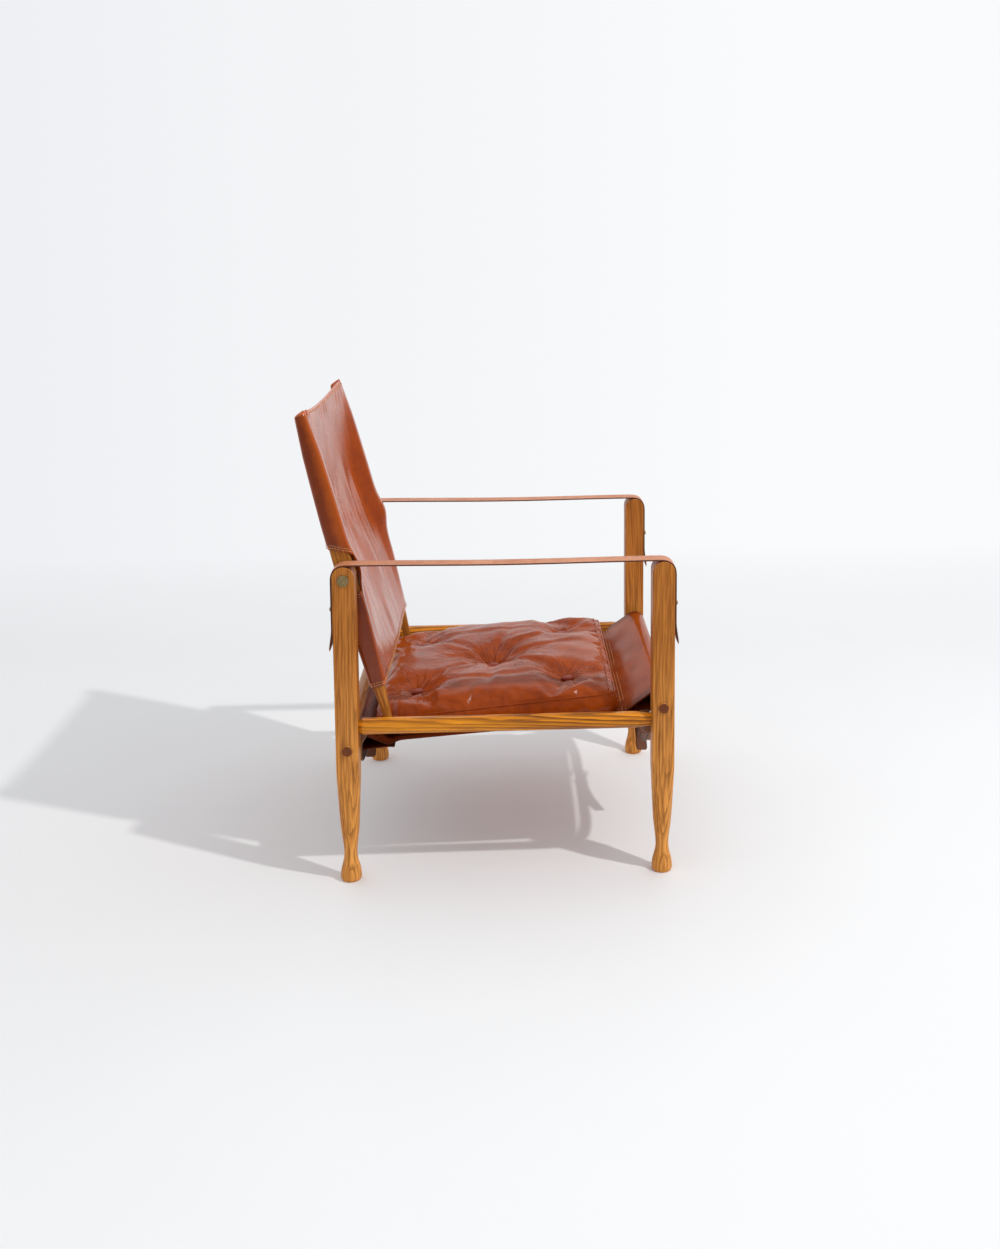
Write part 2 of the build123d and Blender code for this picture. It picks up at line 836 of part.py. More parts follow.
def make_arm_strap_studs():
    """Domed studs screwed into the legs, two for each strap."""
    head = stud_head_diameter / 2
    collar = arm_strap_thickness + 2 * leather_gap
    shank = stud_neck_diameter / 2 - socket_gap
    depth = stud_shank_length - socket_gap
    with BuildPart() as studs:
        for _, side in sides:
            for y, sign in ((front_leg_y - leg_half, -1), (rear_leg_y + leg_half, 1)):
                foot = (side * leg_x, y, leg_height - stud_drop)
                crown = sign * (collar + stud_head_height)
                with BuildSketch(side_plane(*foot)):
                    with BuildLine():
                        Polyline(
                            (crown, 0),
                            (-sign * depth, 0),
                            (-sign * depth, shank),
                            (sign * collar, shank),
                            (sign * collar, head),
                        )
                        Spline((sign * collar, head), (crown, 0), tangents=[(sign, 0), (0, -1)])
                    make_face()
                revolve(axis=Axis(foot, (0, 1, 0)))
    return studs


# Girth straps. Each pair of ends is buckled under the seat and pulls the two sides together.
def girth_middle_y(end):
    """The strap's line under the seat, nearer to the cross rail than its tabs are."""
    return girth_tab_y(end) + (-girth_jog if end == "front" else girth_jog)


def girth_band(end, side, reach, tip):
    """The strap's outline from above: its tab, the jog towards the rail and its tip."""
    tab = girth_tab_y(end)
    middle = girth_middle_y(end)
    half = girth_width / 2
    outer = leg_x
    start = outer - girth_jog_outer
    done = outer - girth_jog_inner
    edge = [(outer, tab), (start, tab), (done, middle), (-reach + tip, middle)]
    upper = [(side * x, y + half) for x, y in edge]
    lower = [(side * x, y - half) for x, y in edge]
    if tip:
        upper.append((-side * reach, middle))
    return upper + lower[::-1]


girth_tab_x = leg_x - side_rail_across / 2 - leather_gap - leather / 2
heel_x = buckle_offset
far_x = buckle_offset + buckle_length
wire = buckle_wire / 2
fold_radius = wire + leather_gap + leather
tongue_under = fold_radius + leather_gap + leather / 2
tongue_over = wire + leather_gap + leather / 2


def make_girth_buckle_strap(end):
    """The right-hand strap, from its tab to the fold round the buckle's heel bar."""
    tab = girth_tab_x
    middle = girth_middle_y(end)
    corner_z = girth_height + girth_corner_rise
    with BuildPart() as strap:
        with BuildSketch(front_plane(0, 0, 0)):
            with BuildLine():
                FilletPolyline(
                    (-tab, side_rail_height + girth_tab_rise),
                    (-tab, corner_z),
                    (-tab + girth_jog_inner, girth_height - leather / 2),
                    (heel_x - fold_taper, girth_height - leather / 2),
                    radius=girth_bend,
                )
            trace(line_width=leather)
        extrude(amount=leg_span, both=True)
        with BuildSketch(front_plane(0, 0, 0)):
            with Locations((heel_x - (fold_lap + fold_taper) / 2, girth_height)):
                Rectangle(fold_lap - fold_taper, 2 * leather)
        extrude(amount=leg_span, both=True)
        with BuildSketch(front_plane(0, 0, 0)):
            with Locations((heel_x, girth_height)):
                Circle(fold_radius)
            with Locations((heel_x - fold_taper, girth_height)):
                Rectangle(leather, 2 * leather)
            make_hull()
        extrude(amount=leg_span, both=True)
        with BuildSketch(front_plane(0, 0, 0)):
            with Locations((heel_x, girth_height)):
                Circle(wire + leather_gap)
        extrude(amount=leg_span, both=True, mode=Mode.SUBTRACT)
        with BuildSketch(Plane.XY):
            with BuildLine():
                Polyline(*girth_band(end, -1, heel_x + fold_radius, 0), close=True)
            make_face()
        extrude(amount=leg_height, mode=Mode.INTERSECT)
        with BuildSketch(Plane(origin=(heel_x, middle, 0))):
            Rectangle(3 * fold_radius, fold_slot)
        extrude(amount=leg_height, mode=Mode.SUBTRACT)
        with BuildSketch(side_plane(0, girth_tab_y(end), side_rail_height)):
            Circle(tab_screw_diameter / 2 + socket_gap)
        extrude(amount=leg_spread, both=True, mode=Mode.SUBTRACT)
    return strap


def make_girth_tongue_strap(end):
    """The left-hand strap, through the buckle and keeper to its hanging punched tail."""
    tab = girth_tab_x
    middle = girth_middle_y(end)
    corner_z = girth_height + girth_corner_rise
    over = girth_height + tongue_over
    under = girth_height - tongue_under
    tail_start = heel_x - keeper_offset - 2 * keeper_length
    tail_end = heel_x - tongue_tail_reach
    tail_middle = (tail_start + tail_end) / 2
    sag_share = 0.3
    with BuildPart() as strap:
        with BuildSketch(front_plane(0, 0, 0)):
            with BuildLine():
                FilletPolyline(
                    (tab, side_rail_height + girth_tab_rise),
                    (tab, corner_z),
                    (tab - girth_jog_inner, over),
                    (far_x - wire / 2, over),
                    (heel_x + wire, under),
                    (tail_start, under),
                    (tail_middle, under - tongue_tail_drop * sag_share),
                    (tail_end, under - tongue_tail_drop),
                    radius=[girth_bend, girth_bend, wire, wire, girth_bend, girth_bend],
                )
            trace(line_width=leather)
        extrude(amount=leg_span, both=True)
        with BuildSketch(Plane.XY):
            with BuildLine():
                Polyline(*girth_band(end, 1, tongue_tail_reach - heel_x, girth_width / 2), close=True)
            make_face()
        extrude(amount=leg_height, mode=Mode.INTERSECT)
        with BuildSketch(Plane.XY):
            with Locations((heel_x + tongue_hole_offset, middle)):
                SlotOverall(tongue_hole_length, tongue_hole_width)
            for index in range(punched_hole_count):
                with Locations((tail_start - index * punched_hole_pitch, middle)):
                    Circle(punched_hole_diameter / 2)
        extrude(amount=leg_height, mode=Mode.SUBTRACT)
        with BuildSketch(side_plane(0, girth_tab_y(end), side_rail_height)):
            Circle(tab_screw_diameter / 2 + socket_gap)
        extrude(amount=leg_spread, both=True, mode=Mode.SUBTRACT)
    return strap


def make_buckle_frame(end):
    """The buckle's rounded wire frame, with its heel bar inside the strap's fold."""
    middle = girth_middle_y(end)
    half = buckle_width / 2
    corners = [(heel_x, -half), (far_x, -half), (far_x, half), (heel_x, half)]
    with BuildPart() as frame:
        with BuildLine(Plane(origin=(0, middle, girth_height))):
            ring = FilletPolyline(*corners, radius=buckle_round, close=True)
        with BuildSketch(Plane(origin=ring @ 0, z_dir=ring % 0)):
            Circle(wire)
        sweep(path=ring)
    return frame


def make_buckle_prong(end):
    """The prong, with an eye round the heel bar and its tip under the far bar."""
    middle = girth_middle_y(end)
    eye = prong_eye_diameter / 2
    root_drop = wire - socket_gap
    tip_drop = wire + leather_gap
    reach = buckle_length + prong_overhang
    with BuildPart() as prong:
        with BuildSketch(front_plane(heel_x, middle, girth_height)):
            Circle(eye)
            with BuildLine():
                Polyline(
                    (0, -root_drop),
                    (reach, -tip_drop),
                    (reach, -tip_drop - prong_thickness / 2),
                    (buckle_length, -tip_drop - prong_thickness),
                    (0, -eye),
                    close=True,
                )
            make_face()
            Circle(wire + running_gap, mode=Mode.SUBTRACT)
        extrude(amount=prong_width / 2, both=True)
    return prong


def make_strap_keepers():
    """A leather loop on each girth strap, round the doubled strap and the tongue."""
    low = -tongue_under - leather / 2 - leather_gap
    high = leather + leather_gap
    with BuildPart() as keepers:
        for end in ("front", "rear"):
            start = heel_x - keeper_offset - keeper_length
            centre = (start, girth_middle_y(end), girth_height + (low + high) / 2)
            with BuildSketch(side_plane(*centre)):
                inside_width = girth_width + 2 * leather_gap
                inside_height = high - low
                Rectangle(inside_width + 2 * keeper_thickness, inside_height + 2 * keeper_thickness)
                fillet(vertices(), radius=keeper_thickness)
                Rectangle(inside_width, inside_height, mode=Mode.SUBTRACT)
            extrude(amount=keeper_length)
    return keepers


def make_girth_screws():
    """Round-headed screws that hold the four tabs to the side rails."""
    with BuildPart() as screws:
        for end in ("front", "rear"):
            for _, side in sides:
                face = girth_tab_x - leather / 2
                plane = entry_plane(side * face, girth_tab_y(end), side_rail_height, (side, 0, 0))
                with BuildSketch(plane):
                    Circle(tab_screw_head / 2)
                extrude(amount=-tab_screw_head_height)
                with BuildSketch(plane):
                    Circle(tab_screw_diameter / 2)
                extrude(amount=leg_x - side_rail_across / 2 - face + tab_screw_length)
        crowns = screws.faces().filter_by(Axis.X).edges().filter_by(
            lambda edge: abs(edge.center().X) < girth_tab_x - leather
        )
        fillet(crowns.filter_by(GeomType.CIRCLE), radius=tab_screw_head_height / 2)
    return screws


os.makedirs("parts", exist_ok=True)

for name, side in sides:
    x = side * leg_x
    save(make_leg(x, front_leg_y, 1, front_rail_height, False), f"leg_front_{name}")
    save(make_leg(x, rear_leg_y, -1, rear_rail_height, True), f"leg_rear_{name}")
    save(make_side_rail(x), f"side_rail_{name}")
    save(make_back_post(side * post_x), f"back_post_{name}")
    save(make_arm_strap(x), f"arm_strap_{name}")

save(make_cross_rail(front_leg_y, front_rail_height), "front_rail")
save(make_cross_rail(rear_leg_y, rear_rail_height), "rear_rail")
save(make_back_leather(), "back_leather")
save(make_pivot_bolts(), "pivot_bolts")
save(make_pivot_washers(), "pivot_washers")
save(make_pivot_bushes(), "pivot_bushes")
save(make_seat_sling(), "seat_sling")
save(make_seat_cushion(), "seat_cushion")
save(make_cushion_buttons(), "cushion_buttons")
save(make_arm_strap_studs(), "arm_strap_studs")
save(make_strap_keepers(), "strap_keepers")
save(make_girth_screws(), "girth_strap_screws")

for end in ("front", "rear"):
    save(make_girth_buckle_strap(end), f"{end}_girth_buckle_strap")
    save(make_girth_tongue_strap(end), f"{end}_girth_tongue_strap")
    save(make_buckle_frame(end), f"{end}_buckle_frame")
    save(make_buckle_prong(end), f"{end}_buckle_prong")
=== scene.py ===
import bmesh
import bpy
import numpy as np
from mathutils import Matrix, Vector


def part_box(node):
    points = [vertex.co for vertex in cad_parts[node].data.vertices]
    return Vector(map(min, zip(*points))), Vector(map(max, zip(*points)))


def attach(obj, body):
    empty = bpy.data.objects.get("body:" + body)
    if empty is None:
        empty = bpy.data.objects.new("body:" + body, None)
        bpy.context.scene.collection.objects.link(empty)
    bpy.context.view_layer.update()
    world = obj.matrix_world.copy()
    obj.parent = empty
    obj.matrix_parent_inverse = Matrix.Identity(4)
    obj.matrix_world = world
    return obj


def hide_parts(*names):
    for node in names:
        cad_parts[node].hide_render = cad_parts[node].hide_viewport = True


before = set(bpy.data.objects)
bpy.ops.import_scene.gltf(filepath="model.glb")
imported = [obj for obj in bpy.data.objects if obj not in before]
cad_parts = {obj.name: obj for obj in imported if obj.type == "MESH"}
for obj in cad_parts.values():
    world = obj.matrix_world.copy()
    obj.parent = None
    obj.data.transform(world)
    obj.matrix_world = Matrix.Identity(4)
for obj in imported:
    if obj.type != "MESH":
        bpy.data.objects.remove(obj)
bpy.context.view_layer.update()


# Places that the frame gives, in metres
def middle_of(node):
    """The centre of a node's box."""
    low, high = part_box(node)
    return (low + high) / 2


rear_leg_y = middle_of("leg_rear_right").y
front_leg_y = middle_of("leg_front_right").y
leg_x = abs(middle_of("leg_rear_right").x)
front_rail_z = middle_of("front_rail").z
rear_rail_z = middle_of("rear_rail").z

# Sizes of the wood and the leather, as the frame has them
leg_half = 0.019
leg_height = 0.554
rail_radius = 0.017
post_x = 0.233
pivot_z = 0.531
lean = np.radians(14.3)
leather = 0.0024
arm_strap_leather = 0.0026
quarter = np.pi / 2


# Lines and steps
def unit(vectors):
    """Vectors of length one."""
    return vectors / np.maximum(np.linalg.norm(vectors, axis=-1, keepdims=True), 1e-12)


def square_to(ahead, wanted):
    """The part of the wanted directions that is square to the ones ahead, at length one."""
    return unit(wanted - ahead * np.sum(wanted * ahead, -1, keepdims=True))


def soft_step(value):
    """0 below 0, 1 above 1, and an S curve between: three squares less two cubes."""
    value = np.clip(value, 0, 1)
    return value * value * (3 - 2 * value)


def bell(value, middle, width):
    """1 at the middle, falling off both ways as the exponential of the square of the distance."""
    return np.exp(-(((value - middle) / width) ** 2))


def round_about(count):
    """Angles at even steps of a full turn."""
    return np.linspace(0, 2 * np.pi, count, endpoint=False)


def power_curve(value, power):
    """A value from -1 to 1 raised to a power, with its sign kept. Low powers square off a circle."""
    return np.sign(value) * np.abs(value) ** power


def distance_along(line):
    """How far along a line each of its points lies."""
    return np.concatenate([[0], np.cumsum(np.linalg.norm(np.diff(line, axis=0), axis=1))])


def spaced(line, count=None, pitch=None):
    """Points at even distances along a line of points."""
    run = distance_along(line)
    if count is None:
        count = max(int(run[-1] / pitch), 2)
    at = np.linspace(0, run[-1], count)
    return np.stack([np.interp(at, run, line[:, k]) for k in range(line.shape[1])], -1)


def softened(line, times):
    """A line between whose ends each point moves to a quarter, a half and a quarter of the point
    before it, itself and the point after it, so many times."""
    line = line.copy()
    for _ in range(times):
        line[1:-1] = (line[:-2] + 2 * line[1:-1] + line[2:]) / 4
    return line


def eased(at, places, values, width):
    """A soft curve through steps: straight runs between the values, averaged over a width."""
    fine = np.linspace(min(places) - width, max(places) + width, 1200)
    count = max(int(width / (fine[1] - fine[0])), 3) | 1
    window = np.hanning(count + 2)[1:-1]
    order = np.argsort(places)
    straight = np.interp(fine, np.array(places)[order], np.array(values)[order])
    padded = np.pad(straight, count // 2, mode="edge")
    return np.interp(at, fine, np.convolve(padded, window / window.sum(), mode="valid"))


# Mesh work
def make_object(name, mesh, body, finish):
    """Link a mesh as a piece that rides on a body and wears a finish."""
    piece = bpy.data.objects.new(name, mesh)
    bpy.context.scene.collection.objects.link(piece)
    mesh.materials.append(finish)
    mesh.polygons.foreach_set("use_smooth", np.ones(len(mesh.polygons), bool))
    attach(piece, body)
    return piece


def lay_coordinates(mesh, flat):
    """Give every corner the flat coordinates of its vertex, in metres of leather."""
    layer = mesh.uv_layers.new(name="cut")
    corner = np.empty(len(mesh.loops), np.int32)
    mesh.loops.foreach_get("vertex_index", corner)
    layer.data.foreach_set("uv", flat[corner].astype(np.float32).ravel())


def grid_faces(rows, columns, round_rows=False, round_columns=False):
    """Four-cornered faces between neighbouring points of a grid, wrapped round where it closes."""
    index = np.arange(rows * columns).reshape(rows, columns)
    if round_rows:
        index = np.vstack([index, index[:1]])
    if round_columns:
        index = np.hstack([index, index[:, :1]])
    return np.stack([index[:-1, :-1], index[:-1, 1:], index[1:, 1:], index[1:, :-1]], -1)


def tube_faces(rings, sides, closed=False):
    """Faces round a row of rings, with a flat end at each side unless the row closes on itself."""
    faces = grid_faces(rings, sides, round_rows=closed, round_columns=True).reshape(-1, 4).tolist()
    if not closed:
        faces += [list(range(sides)), list(range((rings - 1) * sides, rings * sides))[::-1]]
    return faces


def solid_mesh(name, points, faces, open_sides=0):
    """A mesh whose faces point outwards. Openings with up to so many sides are closed first."""
    mesh = bpy.data.meshes.new(name)
    mesh.from_pydata(points.tolist(), [], faces)
    work = bmesh.new()
    work.from_mesh(mesh)
    if open_sides:
        bmesh.ops.holes_fill(work, edges=work.edges, sides=open_sides)
    bmesh.ops.recalc_face_normals(work, faces=work.faces)
    work.to_mesh(mesh)
    work.free()
    return mesh


def sheet_mesh(name, points, flat, keep=None):
    """A surface through a grid of points, without the cells that keep leaves out."""
    cells = grid_faces(*points.shape[:2])
    cells = cells.reshape(-1, 4) if keep is None else cells[keep]
    used, renamed = np.unique(cells, return_inverse=True)
    mesh = bpy.data.meshes.new(name)
    mesh.from_pydata(points.reshape(-1, 3)[used].tolist(), [], renamed.reshape(-1, 4).tolist())
    lay_coordinates(mesh, flat.reshape(-1, 2)[used])
    return mesh


def thicken(piece):
    """Give a sheet its leather's thickness, half to each side, with soft edges."""
    wall = piece.modifiers.new("wall", "SOLIDIFY")
    wall.thickness = leather
    wall.offset = 0.0
    wall.use_even_offset = False
    soft = piece.modifiers.new("soft edge", "BEVEL")
    soft.width = 0.0006
    soft.segments = 2
    soft.limit_method = "ANGLE"
    soft.angle_limit = np.radians(50)


def strap_mesh(name, centre, across, width, thickness):
    """A flat strap: an oblong carried along the centre line. Its corners are a power curve,
    abs(cos) ** 0.175 across it and abs(sin) ** 0.35 through it. Both tips narrow by a power of the
    nearness to the end, and close to a quarter of the thickness."""
    sides, bend, narrowing = 28, 0.35, 0.28
    along = unit(np.gradient(centre, axis=0))
    across = square_to(along, across)
    out = np.cross(across, along)
    turn = round_about(sides)
    a = power_curve(np.cos(turn), bend / 2)
    c = power_curve(np.sin(turn), bend)
    run = distance_along(centre)
    end = np.minimum(run, run[-1] - run)
    tip = 1 - narrowing * np.clip(1 - end / (width * narrowing), 0, 1) ** 2.2
    thin = np.where(end < 1e-9, 0.25, 1.0)
    half = width / 2 * tip
    ring = (
        centre[:, None]
        + across[:, None] * (half[:, None] * a)[..., None]
        + out[:, None] * (thickness / 2 * thin[:, None] * c)[..., None]
    )
    mesh = solid_mesh(name, ring.reshape(-1, 3), tube_faces(len(run), sides))
    flat = np.stack([half[:, None] * a, run[:, None] + 0 * a], -1)
    lay_coordinates(mesh, flat.reshape(-1, 2))
    return mesh


def tube_mesh(name, line, out, radius, closed, wide=None):
    """A round cord along a line, ring by ring square to the line, or with wide, half the width, a
    flat band whose corners are a power curve, abs(cos) ** 0.35 and abs(sin) ** 0.35."""
    sides, bend = (20, 0.35) if wide else (8, 1.0)
    ahead = unit(np.roll(line, -1, 0) - np.roll(line, 1, 0) if closed else np.gradient(line, axis=0))
    out = square_to(ahead, out)
    side = np.cross(ahead, out)
    turn = round_about(sides)
    thick = radius * power_curve(np.cos(turn), bend)
    broad = (wide or radius) * power_curve(np.sin(turn), bend)
    ring = line[:, None] + out[:, None] * thick[None, :, None] + side[:, None] * broad[None, :, None]
    return solid_mesh(name, ring.reshape(-1, 3), tube_faces(len(line), sides, closed))


def stitch_row(line, out, pitch=0.0046, length=0.0036, radius=0.00058, sunk=0.3):
    """Thread stitches along a line of points: one slim spindle for each, laid end to end with a
    small gap. A spindle is six rings of six points, whose radius is the square root of one less
    the fourth power of the place along it."""
    rings = sides = 6
    run = distance_along(line)
    count = max(int(run[-1] / pitch), 1)
    at = (np.arange(count) + 0.5) * run[-1] / count
    pick = lambda values: np.stack([np.interp(at, run, values[:, k]) for k in range(3)], -1)
    place, up = pick(line), unit(pick(out))
    ahead = unit(pick(np.gradient(line, axis=0)))
    side = unit(np.cross(ahead, up))
    step = np.linspace(-1, 1, rings)
    swell = np.sqrt(np.clip(1 - (step * 0.97) ** 4, 0, 1))[:, None] * radius
    turn = round_about(sides)
    shape = (
        step[:, None, None] * length / 2 * np.array([1, 0, 0])
        + (swell * np.cos(turn))[..., None] * np.array([0, 1, 0])
        + (swell * np.sin(turn) + radius * (1 - 2 * sunk))[..., None] * np.array([0, 0, 1])
    ).reshape(-1, 3)
    frames = np.stack([ahead, side, up], 1)
    points = place[:, None] + np.einsum("pk,nkj->npj", shape, frames)
    single = grid_faces(rings, sides, round_columns=True).reshape(-1, 4)
    starts = (np.arange(count) * rings * sides)[:, None, None]
    return points.reshape(-1, 3), (single[None] + starts).reshape(-1, 4)


def thread_object(name, rows, body):
    """All the stitch rows of one piece as one object."""
    points = np.concatenate([row[0] for row in rows])
    shift = np.cumsum([0] + [len(row[0]) for row in rows[:-1]])
    faces = np.concatenate([row[1] + start for row, start in zip(rows, shift)])
    mesh = solid_mesh(name, points, faces.tolist(), open_sides=6)
    return make_object(name, mesh, body, gold_thread)


# Finishes
class Nodes:
    """A node tree under construction: each call makes a node and links what feeds it."""

    def __init__(self, tree):
        self.nodes, self.links = tree.nodes, tree.links

    def feed(self, socket, value):
        """Link a socket from another one, or set its value."""
        if isinstance(value, bpy.types.NodeSocket):
            self.links.new(value, socket)
        else:
            socket.default_value = value

    def add(self, kind, inputs=(), **settings):
        """A shader node of a kind."""
        node = self.nodes.new("ShaderNode" + kind)
        for key, value in settings.items():
            setattr(node, key, value)
        for key, value in dict(inputs).items():
            self.feed(node.inputs[key], value)
        return node

    def math(self, operation, *values):
        """One step of arithmetic."""
        return self.add("Math", dict(enumerate(values)), operation=operation).outputs[0]

    def plus(self, first, second):
        """The sum of two values."""
        return self.math("ADD", first, second)

    def times(self, first, second):
        """The product of two values."""
        return self.math("MULTIPLY", first, second)

    def far(self, first, second):
        """How far a point is from the origin, by the root of its squares' sum."""
        return self.math("SQRT", self.plus(self.times(first, first), self.times(second, second)))

    def vector(self, operation, *values, output="Vector"):
        """One step of arithmetic with vectors."""
        return self.add("VectorMath", dict(enumerate(values)), operation=operation).outputs[output]

    def parts(self, vector):
        """The X, Y and Z of a vector."""
        return tuple(self.add("SeparateXYZ", {"Vector": vector}).outputs)

    def moved(self, where, **change):
        """Coordinates scaled and then shifted, by Scale and Location."""
        return self.add("Mapping", {"Vector": where, **change}).outputs["Vector"]

    def noise(self, where, scale, detail=3.0, roughness=0.55, distortion=0.0):
        """Soft noise from 0 to 1."""
        inputs = {"Scale": scale, "Detail": detail, "Roughness": roughness, "Distortion": distortion}
        return self.add("TexNoise", {"Vector": where, **inputs}).outputs["Fac"]

    def spread(self, value, low, high, to_low=0.0, to_high=1.0):
        """A value between low and high, brought to between two others and held there."""
        inputs = {"Value": value, "From Min": low, "From Max": high, "To Min": to_low, "To Max": to_high}
        return self.add("MapRange", inputs).outputs["Result"]

    def ramp(self, factor, stops):
        """A grey that runs straight between stops of place and grey."""
        node = self.add("ValToRGB", {"Fac": factor})
        band = node.color_ramp.elements
        while len(band) < len(stops):
            band.new(0.5)
        for element, (place, grey) in zip(band, stops):
            element.position = place
            element.color = (grey, grey, grey, 1)
        return node.outputs["Color"]

    def blend(self, factor, first, second, mode="MIX"):
        """Two colours, mixed by a factor."""
        node = self.add("Mix", {0: factor}, data_type="RGBA", blend_type=mode)
        for number, colour in ((6, first), (7, second)):
            self.feed(node.inputs[number], (*colour, 1) if isinstance(colour, tuple) else colour)
        return node.outputs[2]


class Finish(Nodes):
    """A material under construction, on the piece's own coordinates in metres."""

    def __init__(self, name):
        self.material = bpy.data.materials.new(name)
        self.material.use_nodes = True
        super().__init__(self.material.node_tree)
        self.shader = self.nodes["Principled BSDF"]
        self.place = self.add("TexCoord")
        self.where = self.place.outputs["Object"]

    def cut_place(self):
        """The first flat coordinate of a leather: how far in from its edges, or from its middle."""
        return self.parts(self.add("UVMap", uv_map="cut").outputs["UV"])[0]

    def levels(self, values):
        """Set the shader's own sockets."""
        for name, value in values.items():
            self.shader.inputs[name].default_value = value

    def done(self, colour, roughness, heights=()):
        """Link the colour, the roughness and a bump for each (height, depth in metres)."""
        self.feed(self.shader.inputs["Base Color"], colour)
        self.feed(self.shader.inputs["Roughness"], roughness)
        normal = None
        for height, depth in heights:
            bump = self.add("Bump", {"Height": height, "Distance": depth, "Strength": 1.0})
            if normal is not None:
                self.feed(bump.inputs["Normal"], normal)
            normal = bump.outputs["Normal"]
        if normal is not None:
            self.feed(self.shader.inputs["Normal"], normal)
        return self.material


def toned(colour, by, more=0.0):
    """A colour made lighter or darker."""
    return tuple(min(1.0, part * by + more) for part in colour)


def oiled_wood(name, turned, place, heart, pale, mid, upper_tone, gloss, rings=230.0, band=0.14, lines=0.60):
    """Ring-porous wood, oiled. Growth rings are circles round a heart line that lies beside the
    piece and runs nearly along it, so the flats cut them into long arches; there are so many rings
    in a metre, each pale again after its band. Pores are short dark dashes along the grain and
    lie thickest in the darker half of each ring. The wood is darker above the seat, by the upper
    tone colour."""
    growth_brown, streak_brown = (0.11, 0.026, 0.003), (0.22, 0.064, 0.011)
    pore_brown, smoke_brown = (0.08, 0.022, 0.007), (0.13, 0.037, 0.012)
    end_browns = (0.20, 0.055, 0.016), (0.12, 0.032, 0.010)
    wander = 0.008
    wood = Finish(name)
    where = wood.where
    run = {"Vector": where, "Location": place, "Rotation": turned}
    grain = wood.add("Mapping", run, vector_type="TEXTURE").outputs["Vector"]
    stretched = lambda share: wood.moved(grain, Scale=(1.0, 1.0, share))
    drift = stretched(0.10)
    sways = wood.noise(drift, 9.0, 2.0), wood.noise(wood.moved(drift, Location=(3.1, 1.7, 0.6)), 11.0, 2.0)
    off = [
        wood.plus(part, wood.spread(sway, 0, 1, centre - wander, centre + wander))
        for part, sway, centre in zip(wood.parts(grain), sways, heart)
    ]
    years = wood.times(wood.noise(drift, 52.0, 3.0, 0.6), 2.0)
    ring = wood.math("FRACT", wood.plus(wood.times(wood.far(*off), rings), years))
    edge = wood.ramp(ring, [(0.0, 1), (band, 0.66), (0.50, 0.12), (0.90, 0), (1.0, 1)])
    late = wood.times(edge, wood.spread(wood.noise(drift, 17.0, 3.0, 0.65), 0.34, 0.66, 0.45, 1.0))
    fibre = wood.noise(stretched(0.03), 1400.0, 3.0, 0.6)
    streak = wood.noise(stretched(0.035), 260.0, 3.0, 0.6)
    broad = wood.noise(drift, 26.0, 3.0, 0.6)
    pore = wood.ramp(fibre, [(0.0, 1), (0.40, 0), (1.0, 0)])
    base = wood.blend(wood.spread(broad, 0.3, 0.7), pale, mid)
    base = wood.blend(wood.times(late, lines), base, growth_brown)
    base = wood.blend(wood.spread(streak, 0.42, 0.72, 0.0, 0.70), base, streak_brown)
    deepest = wood.times(pore, wood.spread(late, 0, 1, 0.35, 1.0))
    base = wood.blend(wood.times(deepest, 0.85), base, pore_brown)
    # The wood is darker above the seat: its colour is multiplied by the upper tone.
    level = wood.parts(where)[2]
    base = wood.blend(wood.spread(level, 0.16, 0.40), base, wood.blend(1.0, base, upper_tone, "MULTIPLY"))
    smoke = wood.noise(stretched(0.22), 34.0, 4.0, 0.7)
    base = wood.blend(wood.spread(smoke, 0.60, 0.78, 0.0, 0.55), base, smoke_brown)
    facing = {"Vector": wood.place.outputs["Normal"], "Rotation": turned}
    axis = wood.add("Mapping", facing, vector_type="TEXTURE").outputs["Vector"]
    cut = wood.spread(wood.math("ABSOLUTE", wood.parts(axis)[2]), 0.82, 0.96)
    ends = wood.blend(wood.spread(wood.noise(where, 900.0, 2.0), 0.35, 0.65), *end_browns)
    matt = wood.plus(broad, wood.times(pore, 0.4))
    wood.levels({"IOR": 1.40, "Specular IOR Level": 0.10 + gloss})
    return wood.done(
        wood.blend(cut, base, ends),
        wood.spread(matt, 0.3, 1.0, 0.46 - gloss, 0.58 - gloss),
        [(wood.math("SUBTRACT", 1.0, deepest), 0.00022), (wood.math("SUBTRACT", 1.0, late), 0.00012)],
    )


